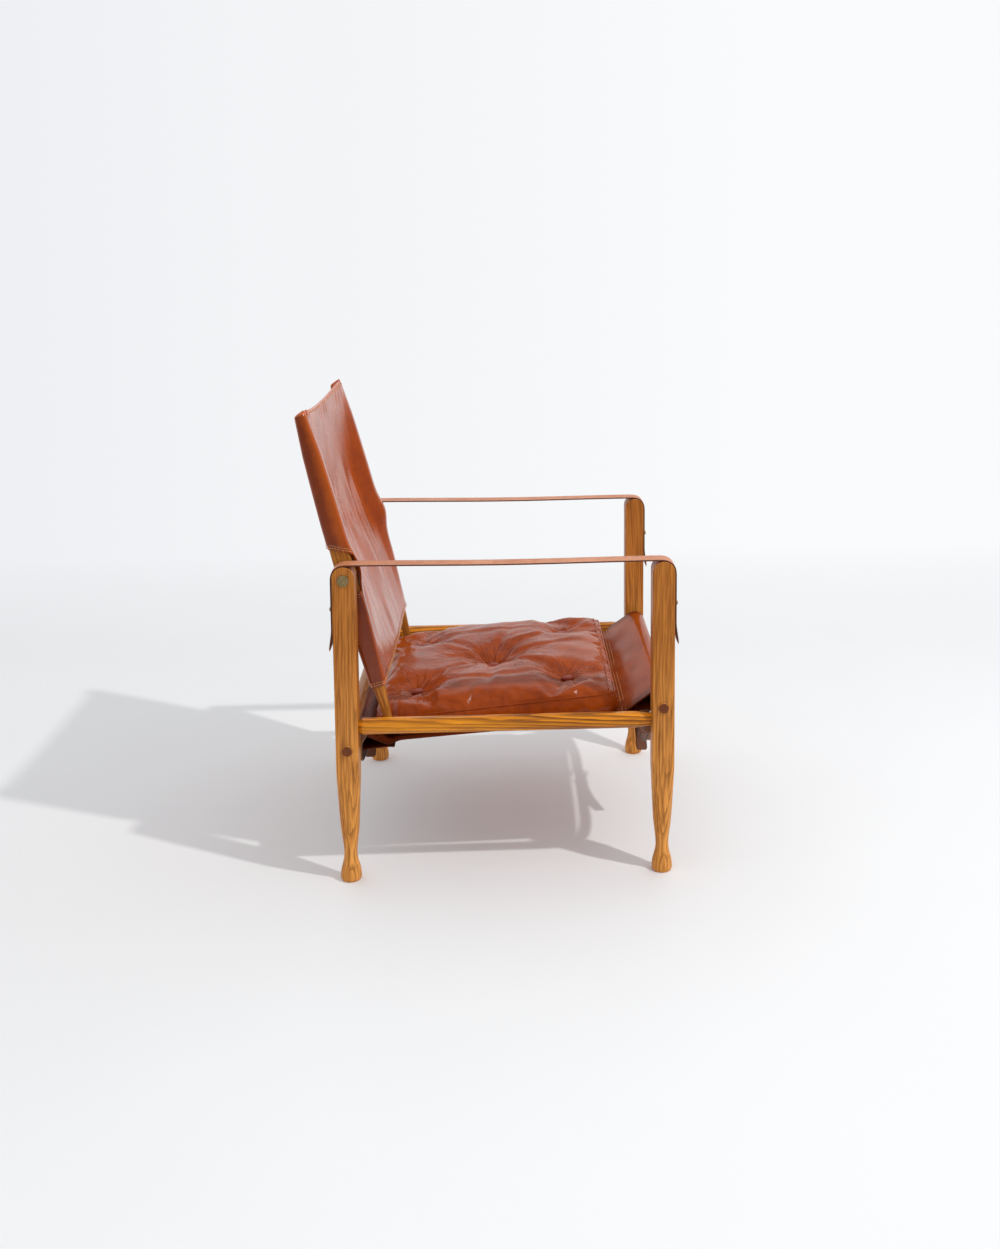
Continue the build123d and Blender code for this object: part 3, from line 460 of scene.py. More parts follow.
def hide(name, light, mid, dark, shine, pull, grain_depth, crease_depth=0.0005, worn=0.35, gloss=0.30,
         wax=0.0, edges=None, hem=None, painted_shade=(), painted_front_light=None, gathers=()):
    """Oiled leather. Fine pebbles come from cells about a millimetre wide, soft clouds darken
    and lighten the dye, and long pale marks show where it was stretched and scuffed. Cut edges
    are dark where edges gives the half width, and hem is the width of the paler folded hems. The
    entries of painted shade give where the skin is darkened as painted shade, from where to where
    and how much. The painted front light is painted light on the front part of each sleeve's outer
    side, above the seat: a direction, where along it the tone starts and is full, and the tone.
    Fine gathers run out of each of the gathers' places, where a noise of the direction passes a
    half, and their creases are darkened as painted shade."""
    skin = Finish(name)
    where = skin.where
    cloud = skin.noise(where, 9.0, 5.0, 0.6, 0.4)
    patch = skin.noise(where, 38.0, 5.0, 0.65)
    cells = skin.add("TexVoronoi", {"Vector": where, "Scale": 950.0, "Randomness": 1.0}, feature="SMOOTH_F1")
    pebble = cells.outputs["Distance"]
    lines = skin.noise(skin.moved(where, Scale=pull), 46.0, 5.0, 0.62, 0.9)
    scuff = skin.ramp(lines, [(0.0, 0), (0.60, 0), (0.80, 1), (1.0, 1)])
    colour = skin.blend(skin.spread(cloud, 0.30, 0.72), light, mid)
    colour = skin.blend(skin.spread(patch, 0.46, 0.80, 0.0, 0.55), colour, dark)
    colour = skin.blend(skin.times(scuff, worn), colour, toned(light, 1.5, 0.02))
    colour = skin.blend(skin.spread(pebble, 0.35, 0.9, 0.0, 0.28), colour, dark)
    rough = skin.spread(skin.plus(cloud, skin.times(patch, 0.6)), 0.5, 1.1, shine - 0.06, shine + 0.10)
    if edges:
        rim = skin.spread(skin.math("ABSOLUTE", skin.cut_place()), edges - 0.0022, edges - 0.0006)
        colour = skin.blend(rim, colour, toned(dark, 0.35))
    if hem:
        rubbed = skin.spread(skin.cut_place(), hem, hem * 0.75)
        rubbed = skin.times(rubbed, skin.spread(patch, 0.2, 0.7, 0.55, 0.9))
        colour = skin.blend(rubbed, colour, toned(light, 1.25, 0.05))
    # Painted shade: each entry darkens the skin towards a deeper brown, from one place to another.
    for kind, clean, full, strength in painted_shade:
        if kind == "rim":
            place = skin.cut_place()
        elif kind == "outside":
            place = skin.math("ABSOLUTE", skin.parts(where)[0])
        else:
            place = skin.parts(where)[1]
        amount = skin.spread(patch, 0.25, 0.6, strength * 0.8, strength)
        colour = skin.blend(skin.times(skin.spread(place, clean, full), amount), colour, toned(dark, 0.8))
    # Painted light: the front of each sleeve's outer side is lightened towards the tone, above the seat.
    if painted_front_light:
        way, start, end, tone = painted_front_light
        x, _, z = skin.parts(where)
        outer = skin.spread(skin.math("ABSOLUTE", x), 0.2405, 0.2425)
        outer = skin.times(outer, skin.spread(z, 0.50, 0.60))
        run = skin.vector("DOT_PRODUCT", where, way, output="Value")
        edge = skin.plus(run, skin.spread(patch, 0.2, 0.8, -0.004, 0.004))
        colour = skin.blend(skin.times(outer, skin.spread(edge, start, end, 0.0, 0.50)), colour, tone)
    pores = skin.plus(skin.times(pebble, -1.0), skin.times(skin.noise(where, 520.0, 3.0), 0.6))
    heights = [(lines, crease_depth), (pores, grain_depth)]
    for number, (x, y) in enumerate(gathers):
        off = skin.moved(where, Location=(-x, -y, 0), Scale=(1, 1, 0))
        away = skin.vector("LENGTH", off, output="Value")
        twist = skin.add("CombineXYZ", {"Z": skin.math("MULTIPLY_ADD", away, 5.0, number * 3.7)})
        turned = skin.vector("ADD", skin.vector("NORMALIZE", off), twist.outputs["Vector"])
        thin = skin.math("ABSOLUTE", skin.math("SUBTRACT", skin.noise(turned, 2.6, 2.5, 0.6), 0.5))
        fade = skin.spread(away, 0.012, 0.095 if number else 0.15, 1.0, 0.0)
        line = skin.times(skin.spread(thin, 0.0, 0.045, 1.0, 0.0), fade)
        heights.append((skin.times(line, -1.0), 0.0012))
        # Painted shade: each gather's crease is darkened towards the dark tone.
        colour = skin.blend(skin.times(line, 0.45), colour, dark)
    skin.levels({"IOR": 1.42, "Specular IOR Level": gloss, "Coat Weight": wax, "Coat Roughness": 0.24})
    return skin.done(colour, rough, heights)


def old_metal(name, bright, dull, rough_low, rough_high):
    """Handled metal: satin, with duller blotches and fine scratches."""
    metal = Finish(name)
    blotch = metal.noise(metal.where, 260.0, 4.0, 0.6)
    scratch = metal.noise(metal.moved(metal.where, Scale=(1.0, 6.0, 1.0)), 900.0, 2.0)
    colour = metal.blend(metal.spread(blotch, 0.35, 0.65), bright, dull)
    metal.levels({"Metallic": 1.0})
    rough = metal.spread(metal.plus(blotch, metal.times(scratch, 0.5)), 0.5, 1.0, rough_low, rough_high)
    return metal.done(colour, rough, [(scratch, 0.00003), (blotch, 0.00008)])


def waxed_thread(name, light, dark):
    """Waxed thread with a fine twist across each stitch."""
    thread = Finish(name)
    twist = thread.noise(thread.where, 2600.0, 2.0)
    tone = thread.noise(thread.where, 160.0, 3.0)
    colour = thread.blend(thread.spread(tone, 0.3, 0.7), light, dark)
    return thread.done(colour, thread.spread(twist, 0.3, 0.7, 0.5, 0.75), [(twist, 0.00012)])


def dress(node, finish):
    """Give a piece of the frame its finish."""
    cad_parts[node].data.materials.clear()
    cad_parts[node].data.materials.append(finish)


# The saddle leather paints shade on each sleeve's outer side and painted light on the sleeve's front, above
# the seat.
post_line = rear_leg_y * np.cos(lean) - pivot_z * np.sin(lean)
saddle_leather = hide(
    "saddle_leather", (0.44, 0.076, 0.006), (0.36, 0.058, 0.005), (0.19, 0.030, 0.006),
    shine=0.23, pull=(1.0, 1.0, 0.5), grain_depth=0.000035, crease_depth=0.00002, worn=0.2, wax=0.35,
    hem=0.008, painted_shade=[("outside", 0.2428, 0.2444, 0.85)],
    painted_front_light=((0.0, np.cos(lean), -np.sin(lean)), post_line + 0.003, post_line - 0.009, (0.58, 0.110, 0.004)),
)
# The sling leather paints shade towards the rear and along its free side edges.
sling_leather = hide(
    "sling_leather", (0.38, 0.066, 0.005), (0.29, 0.045, 0.004), (0.10, 0.018, 0.005),
    shine=0.22, pull=(1.0, 0.6, 1.0), grain_depth=0.00005, crease_depth=0.0002, worn=0.2, gloss=0.10,
    painted_shade=[("back", 0.06, 0.15, 0.92), ("rim", 0.030, 0.008, 0.75)],
)
button_leather = hide(
    "button_leather", (0.30, 0.036, 0.012), (0.22, 0.026, 0.010), (0.10, 0.013, 0.006),
    shine=0.34, pull=(1.0, 1.0, 1.0), grain_depth=0.00006,
)
strap_leather = hide(
    "strap_leather", (0.66, 0.27, 0.13), (0.56, 0.21, 0.10), (0.30, 0.09, 0.04),
    shine=0.42, pull=(1.0, 0.15, 0.15), grain_depth=0.00006, edges=0.017,
)
girth_leather = hide(
    "girth_leather", (0.20, 0.085, 0.050), (0.15, 0.060, 0.035), (0.07, 0.028, 0.018),
    shine=0.38, pull=(0.2, 1.0, 1.0), grain_depth=0.00008, edges=0.010,
)
aged_brass = old_metal("aged_brass", (0.50, 0.34, 0.14), (0.28, 0.18, 0.08), 0.30, 0.52)
aged_nickel = old_metal("aged_nickel", (0.46, 0.34, 0.16), (0.28, 0.20, 0.10), 0.34, 0.55)
gold_thread = waxed_thread("gold_thread", (0.72, 0.36, 0.12), (0.50, 0.22, 0.07))

# Which way each piece of wood runs, where its heart lies beside it, and how far the grain tilts
upright, crosswise = (0.0, 0.0, 0.0), (0.0, quarter, 0.0)
lengthwise, leaning = (-quarter, 0.0, 0.0), (-lean, 0.0, 0.0)
leg_oak = dict(pale=(0.96, 0.43, 0.098), mid=(0.72, 0.28, 0.050), upper_tone=(0.64, 0.52, 0.40), gloss=0.14)
plain_oak = dict(pale=(0.64, 0.265, 0.046), mid=(0.47, 0.165, 0.024), upper_tone=(0.90, 0.86, 0.80), gloss=0.14)
golden_oak = dict(pale=(0.98, 0.37, 0.014), mid=(0.66, 0.205, 0.005), upper_tone=(1.0, 1.0, 1.0), gloss=0.24,
                  rings=150.0, band=0.34, lines=0.95)
for node, oak, turned, aside, behind, tilt in (
    ("leg_front_right", leg_oak, upright, 0.02, 0.01, 0.035),
    ("leg_front_left", leg_oak, upright, 0.05, -0.03, -0.028),
    ("leg_rear_right", leg_oak, upright, 0.035, 0.02, 0.040),
    ("leg_rear_left", leg_oak, upright, -0.02, 0.03, -0.045),
    ("front_rail", plain_oak, crosswise, 0.4, 0.03, 0.03),
    ("rear_rail", plain_oak, crosswise, 0.1, 0.02, 0.025),
    ("side_rail_right", golden_oak, lengthwise, 0.01, 0.3, 0.05),
    ("side_rail_left", golden_oak, lengthwise, 0.02, 0.6, -0.04),
    ("back_post_right", plain_oak, leaning, 0.02, 0.02, 0.02),
    ("back_post_left", plain_oak, leaning, 0.01, -0.03, -0.03),
):
    tilted = tuple(np.array(turned) + (tilt, tilt * 0.7, 0))
    finish = oiled_wood("oiled_" + node, tilted, tuple(middle_of(node)), (0.026 + aside * 0.3, behind), **oak)
    dress(node, finish)
for finish, nodes in (
    (aged_nickel, ("pivot_bolts", "pivot_washers")),
    (aged_brass, ("pivot_bushes", "arm_strap_studs", "front_buckle_frame", "rear_buckle_frame",
                  "front_buckle_prong", "rear_buckle_prong", "girth_strap_screws")),
    (button_leather, ("cushion_buttons",)),
):
    for node in nodes:
        dress(node, finish)


# Back cover. Its sheet runs over the posts' fronts, and a flap on each side wraps round the
# post and is sewn to the back of the sheet. The flaps are cut away at the pivots.
seam_x = 0.210
sleeve_half = 0.0115
sleeve_round = 0.0066
cut_high_front, cut_high_rear, cut_low = 0.028, 0.048, -0.035
sheet_top, sheet_bottom = 0.283, -0.218
panel_stops = 84
band_rows = (18, 52, 18, 50)


def back_point(x, rearward, level):
    """A point of the leaning back: across the chair, square to the posts, and up them."""
    return np.stack(
        [
            x + 0 * rearward,
            rear_leg_y + level * np.sin(lean) + rearward * np.cos(lean),
            pivot_z + level * np.cos(lean) - rearward * np.sin(lean),
        ],
        -1,
    )


def sleeve_depth(level):
    """Half of the sleeve's depth, at the middle of the leather."""
    levels = (-0.22, -0.204, -0.088, 0.09, 0.15, 0.212, 0.268, 0.279, 0.29)
    depths = (0.0118, 0.0122, 0.0173, 0.0172, 0.0160, 0.0142, 0.0100, 0.0092, 0.0084)
    return eased(level, levels, depths, 0.02)


def seam_set_back(level):
    """How far the sheet lies behind the posts' line where the flaps are sewn on."""
    levels = (-0.22, -0.15, -0.09, -0.035, 0.0, 0.03, 0.072, 0.105, 0.135, 0.166, 0.197, 0.24, 0.283)
    depths = (-0.012, -0.0105, -0.008, -0.004, 0.0005, 0.005, 0.0090, 0.0100, 0.0068, 0.0032, -0.0008,
              -0.0065, -0.011)
    return eased(level, levels, depths, 0.03)


def belly(level):
    """How far the middle of the sheet hangs behind its seams."""
    levels = (-0.22, -0.1, 0.0, 0.1, 0.2, 0.283)
    return eased(level, levels, (0.005, 0.012, 0.013, 0.010, 0.011, 0.011), 0.05)


# The upright folds: place across, rise, width, top and bottom level, drift and bend of the line
folds = (
    (-0.180, 0.0034, 0.0160, 0.100, -0.06, 0.04, 0.3),
    (-0.040, 0.0066, 0.0230, 0.116, -0.11, 0.05, 0.4),
    (0.110, 0.0062, 0.0240, 0.120, -0.10, 0.05, 0.3),
    (-0.112, -0.0030, 0.0230, 0.110, -0.20, 0.04, 0.3),
    (0.036, -0.0032, 0.0230, 0.112, -0.20, 0.04, 0.3),
    (0.172, 0.0030, 0.0110, 0.085, -0.05, 0.08, 0.6),
    (-0.040, 0.0026, 0.0200, -0.090, -0.20, -0.08, 0.4),
    (0.112, 0.0030, 0.0180, -0.080, -0.19, -0.10, 0.4),
)


def panel_set_back(x, level):
    """The sheet between the seams: a shallow dish, with upright folds below the shoulder blades.
    Each fold is a ridge of bell section, with a half as deep hollow beside it, whose line drifts
    sideways and fades at both ends. Small puckers stand below the top hem."""
    share = np.clip(np.abs(x) / seam_x, 0, 1)
    depth = seam_set_back(level) + belly(level) * (1 - share**2.2)
    for place, rise, width, top, bottom, drift, bend in folds:
        line = place + drift * (level - 0.05) + bend * 0.006 * np.sin(level * 38 + place * 60)
        wide = width * (1 + 0.25 * np.sin(level * 27 + place * 90))
        strength = 1 / (1 + np.exp(-(top - level) / 0.016)) / (1 + np.exp(-(level - bottom) / 0.024))
        strength = strength * (0.75 + 0.25 * np.sin(level * 33 + place * 40))
        away = (x - line) / wide
        ridge = bell(away, 0, 1) - 0.5 * bell(away, 1.6, 1)
        depth = depth - rise * strength * ridge * (1 - share**8)
    pucker = bell(level, 0.258, 0.014) * 0.0008
    pucker = pucker * np.sin(x * 190 + 3 * np.sin(x * 34)) * np.sin(x * 23 + 1) ** 2
    slack = 0.0016 * np.sin(x * 21 + 0.6) * np.sin(level * 17 + 0.8)
    return depth + (pucker + slack) * (1 - share**6)


def sleeve_path(level):
    """The half of the sheet's cut line on the left side, from the middle of the back outwards and
    round the post to the end of the flap: the panel, a straight flank that touches the first of
    three rounded corners, the front, side and rear between the corners, and the flap's end, which
    falls onto the panel. Near its top the sleeve closes to a line. Gives the places across and
    behind the posts, and where each stretch starts."""
    level = level[:, None]
    depth = sleeve_depth(level)
    closing = np.clip((0.2868 - level) / 0.0068, 0, 1)
    radius = sleeve_round * closing + 0.0013 * (1 - closing)
    pinch = 0.0045 * (1 - closing)
    inner, outer = post_x - sleeve_half + radius, post_x + sleeve_half - pinch - radius
    front = -depth + radius
    back = (depth - radius) * closing + (front + 0.0002) * (1 - closing)
    panel_x = np.linspace(0, seam_x, panel_stops)[None] + 0 * level
    panel_b = panel_set_back(panel_x, level)
    dx, db = seam_x - inner, panel_b[:, -1:] - front
    start = np.arctan2(db, dx) + np.arccos(np.clip(radius / np.sqrt(dx**2 + db**2), -1, 1))
    start = np.where(start < 0, start + 2 * np.pi, start)
    arc = np.linspace(0, 1, 9)[None]
    first = start + (1.5 * np.pi - start) * arc
    near_x, near_b = inner + radius * np.cos(first), front + radius * np.sin(first)
    step = np.linspace(0, 1, 8)[None, 1:-1]
    flank_x = seam_x + (near_x[:, :1] - seam_x) * step
    flank_b = panel_b[:, -1:] + (near_b[:, :1] - panel_b[:, -1:]) * step
    face_x = inner + (outer - inner) * np.linspace(0, 1, 6)[None, 1:-1] + 0 * level
    face_b = front - radius + 0 * face_x
    second = 1.5 * np.pi + 0.5 * np.pi * arc
    far_x, far_b = outer + radius * np.cos(second) + 0 * level, front + radius * np.sin(second)
    side_b = front + (back - front) * np.linspace(0, 1, 12)[None, 1:-1]
    side_x = outer + radius + 0 * side_b
    third = 0.5 * np.pi * arc
    rear_x, rear_b = outer + radius * np.cos(third) + 0 * level, back + radius * np.sin(third)
    end_x = outer + (seam_x - 0.012 - outer) * np.linspace(0, 1, 22)[None, 1:] + 0 * level
    onto = panel_set_back(end_x, level) + leather * 1.06
    fall = soft_step((end_x - seam_x - 0.0015) / (post_x - 0.0118 - seam_x))
    end_b = onto * (1 - fall) + (back + radius) * fall
    loose = bell(level, 0.006, 0.030) * 0.0085
    stretches = (
        (panel_x, panel_b), (flank_x, flank_b - loose * soft_step(step)), (near_x, near_b - loose),
        (face_x, face_b - loose), (far_x, far_b - loose), (side_x, side_b), (rear_x, rear_b), (end_x, end_b),
    )
    marks = np.cumsum([0] + [xs.shape[1] for xs, _ in stretches])
    return np.hstack([xs for xs, _ in stretches]), np.hstack([bs for _, bs in stretches]), marks


def hem_high(x):
    """The sheet's top edge, lowest in the middle, by the square of the share across."""
    return 0.2745 + 0.0130 * np.clip(np.abs(x) / 0.24, 0, 1) ** 2


def hem_low(x):
    """The sheet's lower edge between the posts, lowest in the middle."""
    return sheet_bottom + 0.014 * np.clip(np.abs(x) / 0.22, 0, 1) ** 2


def cut_high(column, marks):
    """The upper edge of the cut-out: it rises from the sleeve's front to its rear."""
    share = np.clip((column - marks[4]) / (marks[6] - marks[4]), 0, 1)
    return cut_high_front + (cut_high_rear - cut_high_front) * share


def run_across(points):
    """How far along its row each point of a grid lies."""
    steps = np.cumsum(np.linalg.norm(np.diff(points, axis=1), axis=2), 1)
    return np.concatenate([np.zeros((points.shape[0], 1)), steps], 1)


def back_cover_points():
    """Rows of four bands: the top hem, down to the cut-outs, along them, and below. Each column's
    levels run between its own band edges, a little closer at both ends of a band, so the cut edges
    are clean. The hems stand out by a doubled edge, and each stitch pulls the leather in."""
    xs, _, marks = sleeve_path(np.linspace(sheet_top, sheet_bottom, 60))
    x_mid = xs[30]
    column = np.arange(len(x_mid))
    high = cut_high(column, marks)
    top, bottom = hem_high(x_mid), hem_low(x_mid)
    near_top, low = top - 0.022, 0 * column + cut_low
    levels = []
    for upper, lower, count in zip((top, near_top, high, low), (near_top, high, low, bottom), band_rows):
        step = np.linspace(0, 1, count)[:, None]
        closer_at_ends = step - 0.095 * np.sin(2 * np.pi * step)
        band = upper + (lower - upper) * closer_at_ends
        levels.append(band[1:] if levels else band)
    levels = np.concatenate(levels)
    fine = np.concatenate([np.linspace(0.2884, 0.262, 90), np.linspace(0.261, -0.222, 380)])
    fine_x, fine_b, _ = sleeve_path(fine)
    where_x, where_b = (
        np.stack([np.interp(levels[:, k], fine[::-1], values[::-1, k]) for k in column], 1)
        for values in (fine_x, fine_b)
    )
    right = back_point(-where_x[:, :0:-1], where_b[:, :0:-1], levels[:, :0:-1])
    points = np.concatenate([right, back_point(where_x, where_b, levels)], 1)
    cells = np.ones((points.shape[0] - 1, points.shape[1] - 1), bool)
    cut_start = band_rows[0] + band_rows[1] - 2
    cut_rows = slice(cut_start, cut_start + band_rows[2] - 1)
    cut_columns = len(column) - 1 + marks[4] + 2
    cells[cut_rows, cut_columns:] = False
    cells[cut_rows, : cells.shape[1] - cut_columns] = False
    inward = np.minimum(top - levels, levels - bottom)
    from_cut = np.where(levels > 0.0, np.abs(levels - high), np.abs(levels - cut_low))
    inward = np.where(column > marks[4] + 2, np.minimum(inward, from_cut), inward)
    from_end = 0.0012 * (len(column) - column)
    inward = np.where(column > marks[7] + 12, np.minimum(inward, from_end), inward)
    inward = np.concatenate([inward[:, :0:-1], inward], 1)
    outward = unit(np.cross(np.gradient(points, axis=1), np.gradient(points, axis=0)))
    fold = soft_step((0.0090 - inward) / 0.0018)
    stitches = np.cos(run_across(points) * 2 * np.pi / 0.0085)
    stitch_pull = 0.00022 * stitches * bell(inward, 0.0055, 0.0030)
    return points + outward * (0.0008 * fold - stitch_pull)[..., None], cells, inward, marks


def make_back_cover():
    """The back's sheet with its hems, and its cut width and area."""
    points, cells, inward, marks = back_cover_points()
    run = run_across(points)
    mesh = sheet_mesh("back_cover", points, np.stack([inward, run], -1), cells)
    cover = make_object("back_cover", mesh, "back", saddle_leather)
    thicken(cover)
    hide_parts("back_leather")
    down, over = points[1:, :-1] - points[:-1, :-1], points[:-1, 1:] - points[:-1, :-1]
    area = np.linalg.norm(np.cross(down, over), axis=-1)[cells].sum()
    return cover, marks, float(np.median(run[:, -1])), float(area)


back_cover, back_marks, back_width, back_area = make_back_cover()
back_thread_rows = []


def cover_row(columns, levels, side):
    """Stitches on the outer face of the sheet, through places along its cut line, counted in
    columns from the middle, and a level for each."""
    levels = levels + 0 * columns
    xs, bs, _ = sleeve_path(levels)
    index = np.arange(xs.shape[1])
    pick = lambda rows, at: np.array([np.interp(a, index, row) for a, row in zip(at, rows)])
    x, b = pick(xs, columns), pick(bs, columns)
    tx, tb = (pick(rows, columns + 0.6) - pick(rows, columns - 0.6) for rows in (xs, bs))
    scale = np.maximum(np.hypot(tx, tb), 1e-9)
    nx, nb = tb / scale, -tx / scale
    lift = leather / 2 + 0.0009
    line = back_point(side * (x + nx * lift), b + nb * lift, levels)
    out = np.stack([side * nx, nb * np.cos(lean), -nb * np.sin(lean)], -1)
    both = spaced(np.concatenate([line, out], 1), pitch=0.0012)
    back_thread_rows.append(stitch_row(both[:, :3], both[:, 3:]))


panel_columns = np.linspace(0, panel_stops - 1, 220)
panel_x = panel_columns / (panel_stops - 1) * seam_x
onward = np.linspace(back_marks[1], back_marks[4] + 1, 60)
round_post = np.linspace(back_marks[4] + 3, back_marks[7] + 8, 90)
low_end = np.linspace(back_marks[1] + 2, back_marks[7] + 8, 140)
for side in (-1, 1):
    cover_row(panel_columns, hem_high(panel_x) - 0.0055, side)
    for rise in (0.0038, 0.0080):
        cover_row(panel_columns, hem_low(panel_x) + rise, side)
    cover_row(onward, 0.2772, side)
    for rise in (0.0036, 0.0078):
        cover_row(round_post, cut_high(round_post, back_marks) + rise, side)
        cover_row(round_post, cut_low - rise, side)
    for rise in (0.0042, 0.0086):
        cover_row(low_end, -0.2045 + rise, side)
back_thread = thread_object("back_thread", back_thread_rows, "back")


# Seat sling. One sheet, turned round both cross rails and sewn back on itself underneath.
front_rail_yz = np.array([front_leg_y, front_rail_z])
rear_rail_yz = np.array([rear_leg_y, rear_rail_z])
lap_front = front_rail_yz + (0.064, -0.022)
lap_rear = rear_rail_yz + (-0.066, -0.008)
seat_front = front_rail_yz + (0.104, -0.036)
seat_rear = rear_rail_yz + (-0.084, 0.001)


def sling_profile():
    """The sheet's line seen from the side: lap, round the front rail, down to the seam, under the
    cushion, up to the rear seam, round the rear rail and back to the rear lap. Straight runs meet
    the rails' circles as tangents."""
    radius = rail_radius + 0.0015
    upper = np.array([0, 0.0012])
    lower = np.array([0, 0.0012 + leather])

    def touch(point, centre, way):
        """The angle at which a line from the point touches the circle, on the side that way picks."""
        gap = point - centre
        return np.arctan2(gap[1], gap[0]) + way * np.arccos(radius / np.hypot(*gap))

    def arc(centre, start, end):
        """Forty points of the circle, from an angle to another."""
        turn = np.linspace(start, end, 40)
        return centre + radius * np.stack([np.cos(turn), np.sin(turn)], -1)

    # Under the rails, the front angle is counted down from zero and the rear one up from it
    front_low = touch(lap_front - lower, front_rail_yz, -1) % (-2 * np.pi)
    front_high = touch(lap_front - upper, front_rail_yz, 1)
    rear_high = touch(lap_rear - upper, rear_rail_yz, -1)
    rear_low = touch(lap_rear - lower, rear_rail_yz, 1) % (2 * np.pi)
    line = np.concatenate(
        [
            [lap_front - lower + (0.010, -0.002), lap_front - lower],
            arc(front_rail_yz, front_low, front_high - 2 * np.pi),
            [lap_front - upper, seat_front - upper, seat_rear - upper, lap_rear - upper],
            arc(rear_rail_yz, rear_high, rear_low - 2 * np.pi),
            [lap_rear - lower, lap_rear - lower - (0.010, 0.001)],
        ]
    )
    return spaced(line, pitch=0.0030)


def make_sling():
    """The sling: its side line carried straight across, with soft ripples beside the front rail,
    which are two sines that fade with the distance from it."""
    half = 0.238
    line = softened(sling_profile(), 5)
    run = distance_along(line)
    x = np.linspace(-half, half, 150)[None, :] + 0 * line[:, :1]
    along = np.gradient(line, axis=0)
    out = unit(np.stack([-along[:, 1], along[:, 0]], -1))
    from_rail = np.hypot(*(line - front_rail_yz).T)[:, None]
    ripple = 0.0009 * np.sin(x * 31 + run[:, None] * 9) + 0.0006 * np.sin(x * 67 - run[:, None] * 17)
    ripple = ripple * np.clip((from_rail - 0.019) / 0.02, 0, 1) * bell(from_rail, 0.045, 0.03)
    points = np.stack([x, line[:, :1] + out[:, :1] * ripple, line[:, 1:] + out[:, 1:] * ripple], -1)
    flat = np.stack([0.002 + half - np.abs(x), run[:, None] + 0 * x], -1)
    sling = make_object("sling", sheet_mesh("sling", points, flat), "frame", sling_leather)
    thicken(sling)
    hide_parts("seat_sling")
    seam_run = run[np.argmax((line[:, 0] > lap_front[0] - 0.004) & (run > run[-1] * 0.12))]
    stops = 320
    up = np.tile(np.array([0.0, 0.3, 0.95]), (stops, 1))
    rows = []
    for shift in (0.0, 0.006):
        y, z = (np.interp(seam_run + shift, run, line[:, k]) for k in (0, 1))
        row = [np.linspace(-half + 0.004, half - 0.004, stops), np.full(stops, y), np.full(stops, z + 0.0014)]
        rows.append(stitch_row(np.stack(row, -1), up, 0.0045))
    thread = thread_object("sling_thread", rows, "frame")


make_sling()


# Cushion
slope = np.arctan2(seat_front[1] - seat_rear[1], seat_rear[0] - seat_front[0])
leg_span, rear_gap, front_gap = 0.538, 0.051, 0.072
cushion_depth = (leg_span - rear_gap - front_gap) / np.cos(slope)
cushion_half = 0.229
cushion_rear_y = rear_leg_y - rear_gap
cushion_base_z = seat_rear[1] + 0.0003 + (seat_rear[0] - cushion_rear_y) * np.tan(slope)
# For each button: its place across, its share of the way forward, and its level
button_spots = [(0.0, 0.475, 0.041)] + [
    (side * cushion_half * 0.585, row, 0.049) for row in (0.150, 0.800) for side in (-1, 1)
]


def cushion_point(x, along, height):
    """A point of the sloping cushion: across, forward from its rear edge, and up from the sling."""
    return np.stack(
        [
            x + 0 * along,
            cushion_rear_y - along * np.cos(slope) + height * np.sin(slope),
            cushion_base_z + along * np.sin(slope) + height * np.cos(slope),
        ],
        -1,
    )


button_places = [
    tuple(cushion_point(np.array(x), share * cushion_depth, level)[:2]) for x, share, level in button_spots
]
# Its gathers paint shade into the creases round the buttons.
cushion_leather = hide(
    "cushion_leather", (0.40, 0.068, 0.005), (0.29, 0.043, 0.003), (0.10, 0.015, 0.004),
    shine=0.19, pull=(1.0, 0.6, 1.0), grain_depth=0.00006, crease_depth=0.0006, worn=0.3, gloss=0.24,
    gathers=button_places,
)


def block_shell(counts):
    """The surface of a block of cells: whole-number places, each once, and their faces."""
    places, faces, start = [], [], 0
    for fixed in (0, 1, 2):
        first, second = [axis for axis in (0, 1, 2) if axis != fixed]
        a, b = np.meshgrid(np.arange(counts[first] + 1), np.arange(counts[second] + 1), indexing="ij")
        for level in (0, counts[fixed]):
            place = np.zeros((*a.shape, 3), int)
            place[..., first], place[..., second], place[..., fixed] = a, b, level
            places.append(place.reshape(-1, 3))
            faces.append(grid_faces(*a.shape).reshape(-1, 4) + start)
            start += a.size
    spots, index = np.unique(np.concatenate(places), axis=0, return_inverse=True)
    return spots, index.ravel()[np.concatenate(faces)]


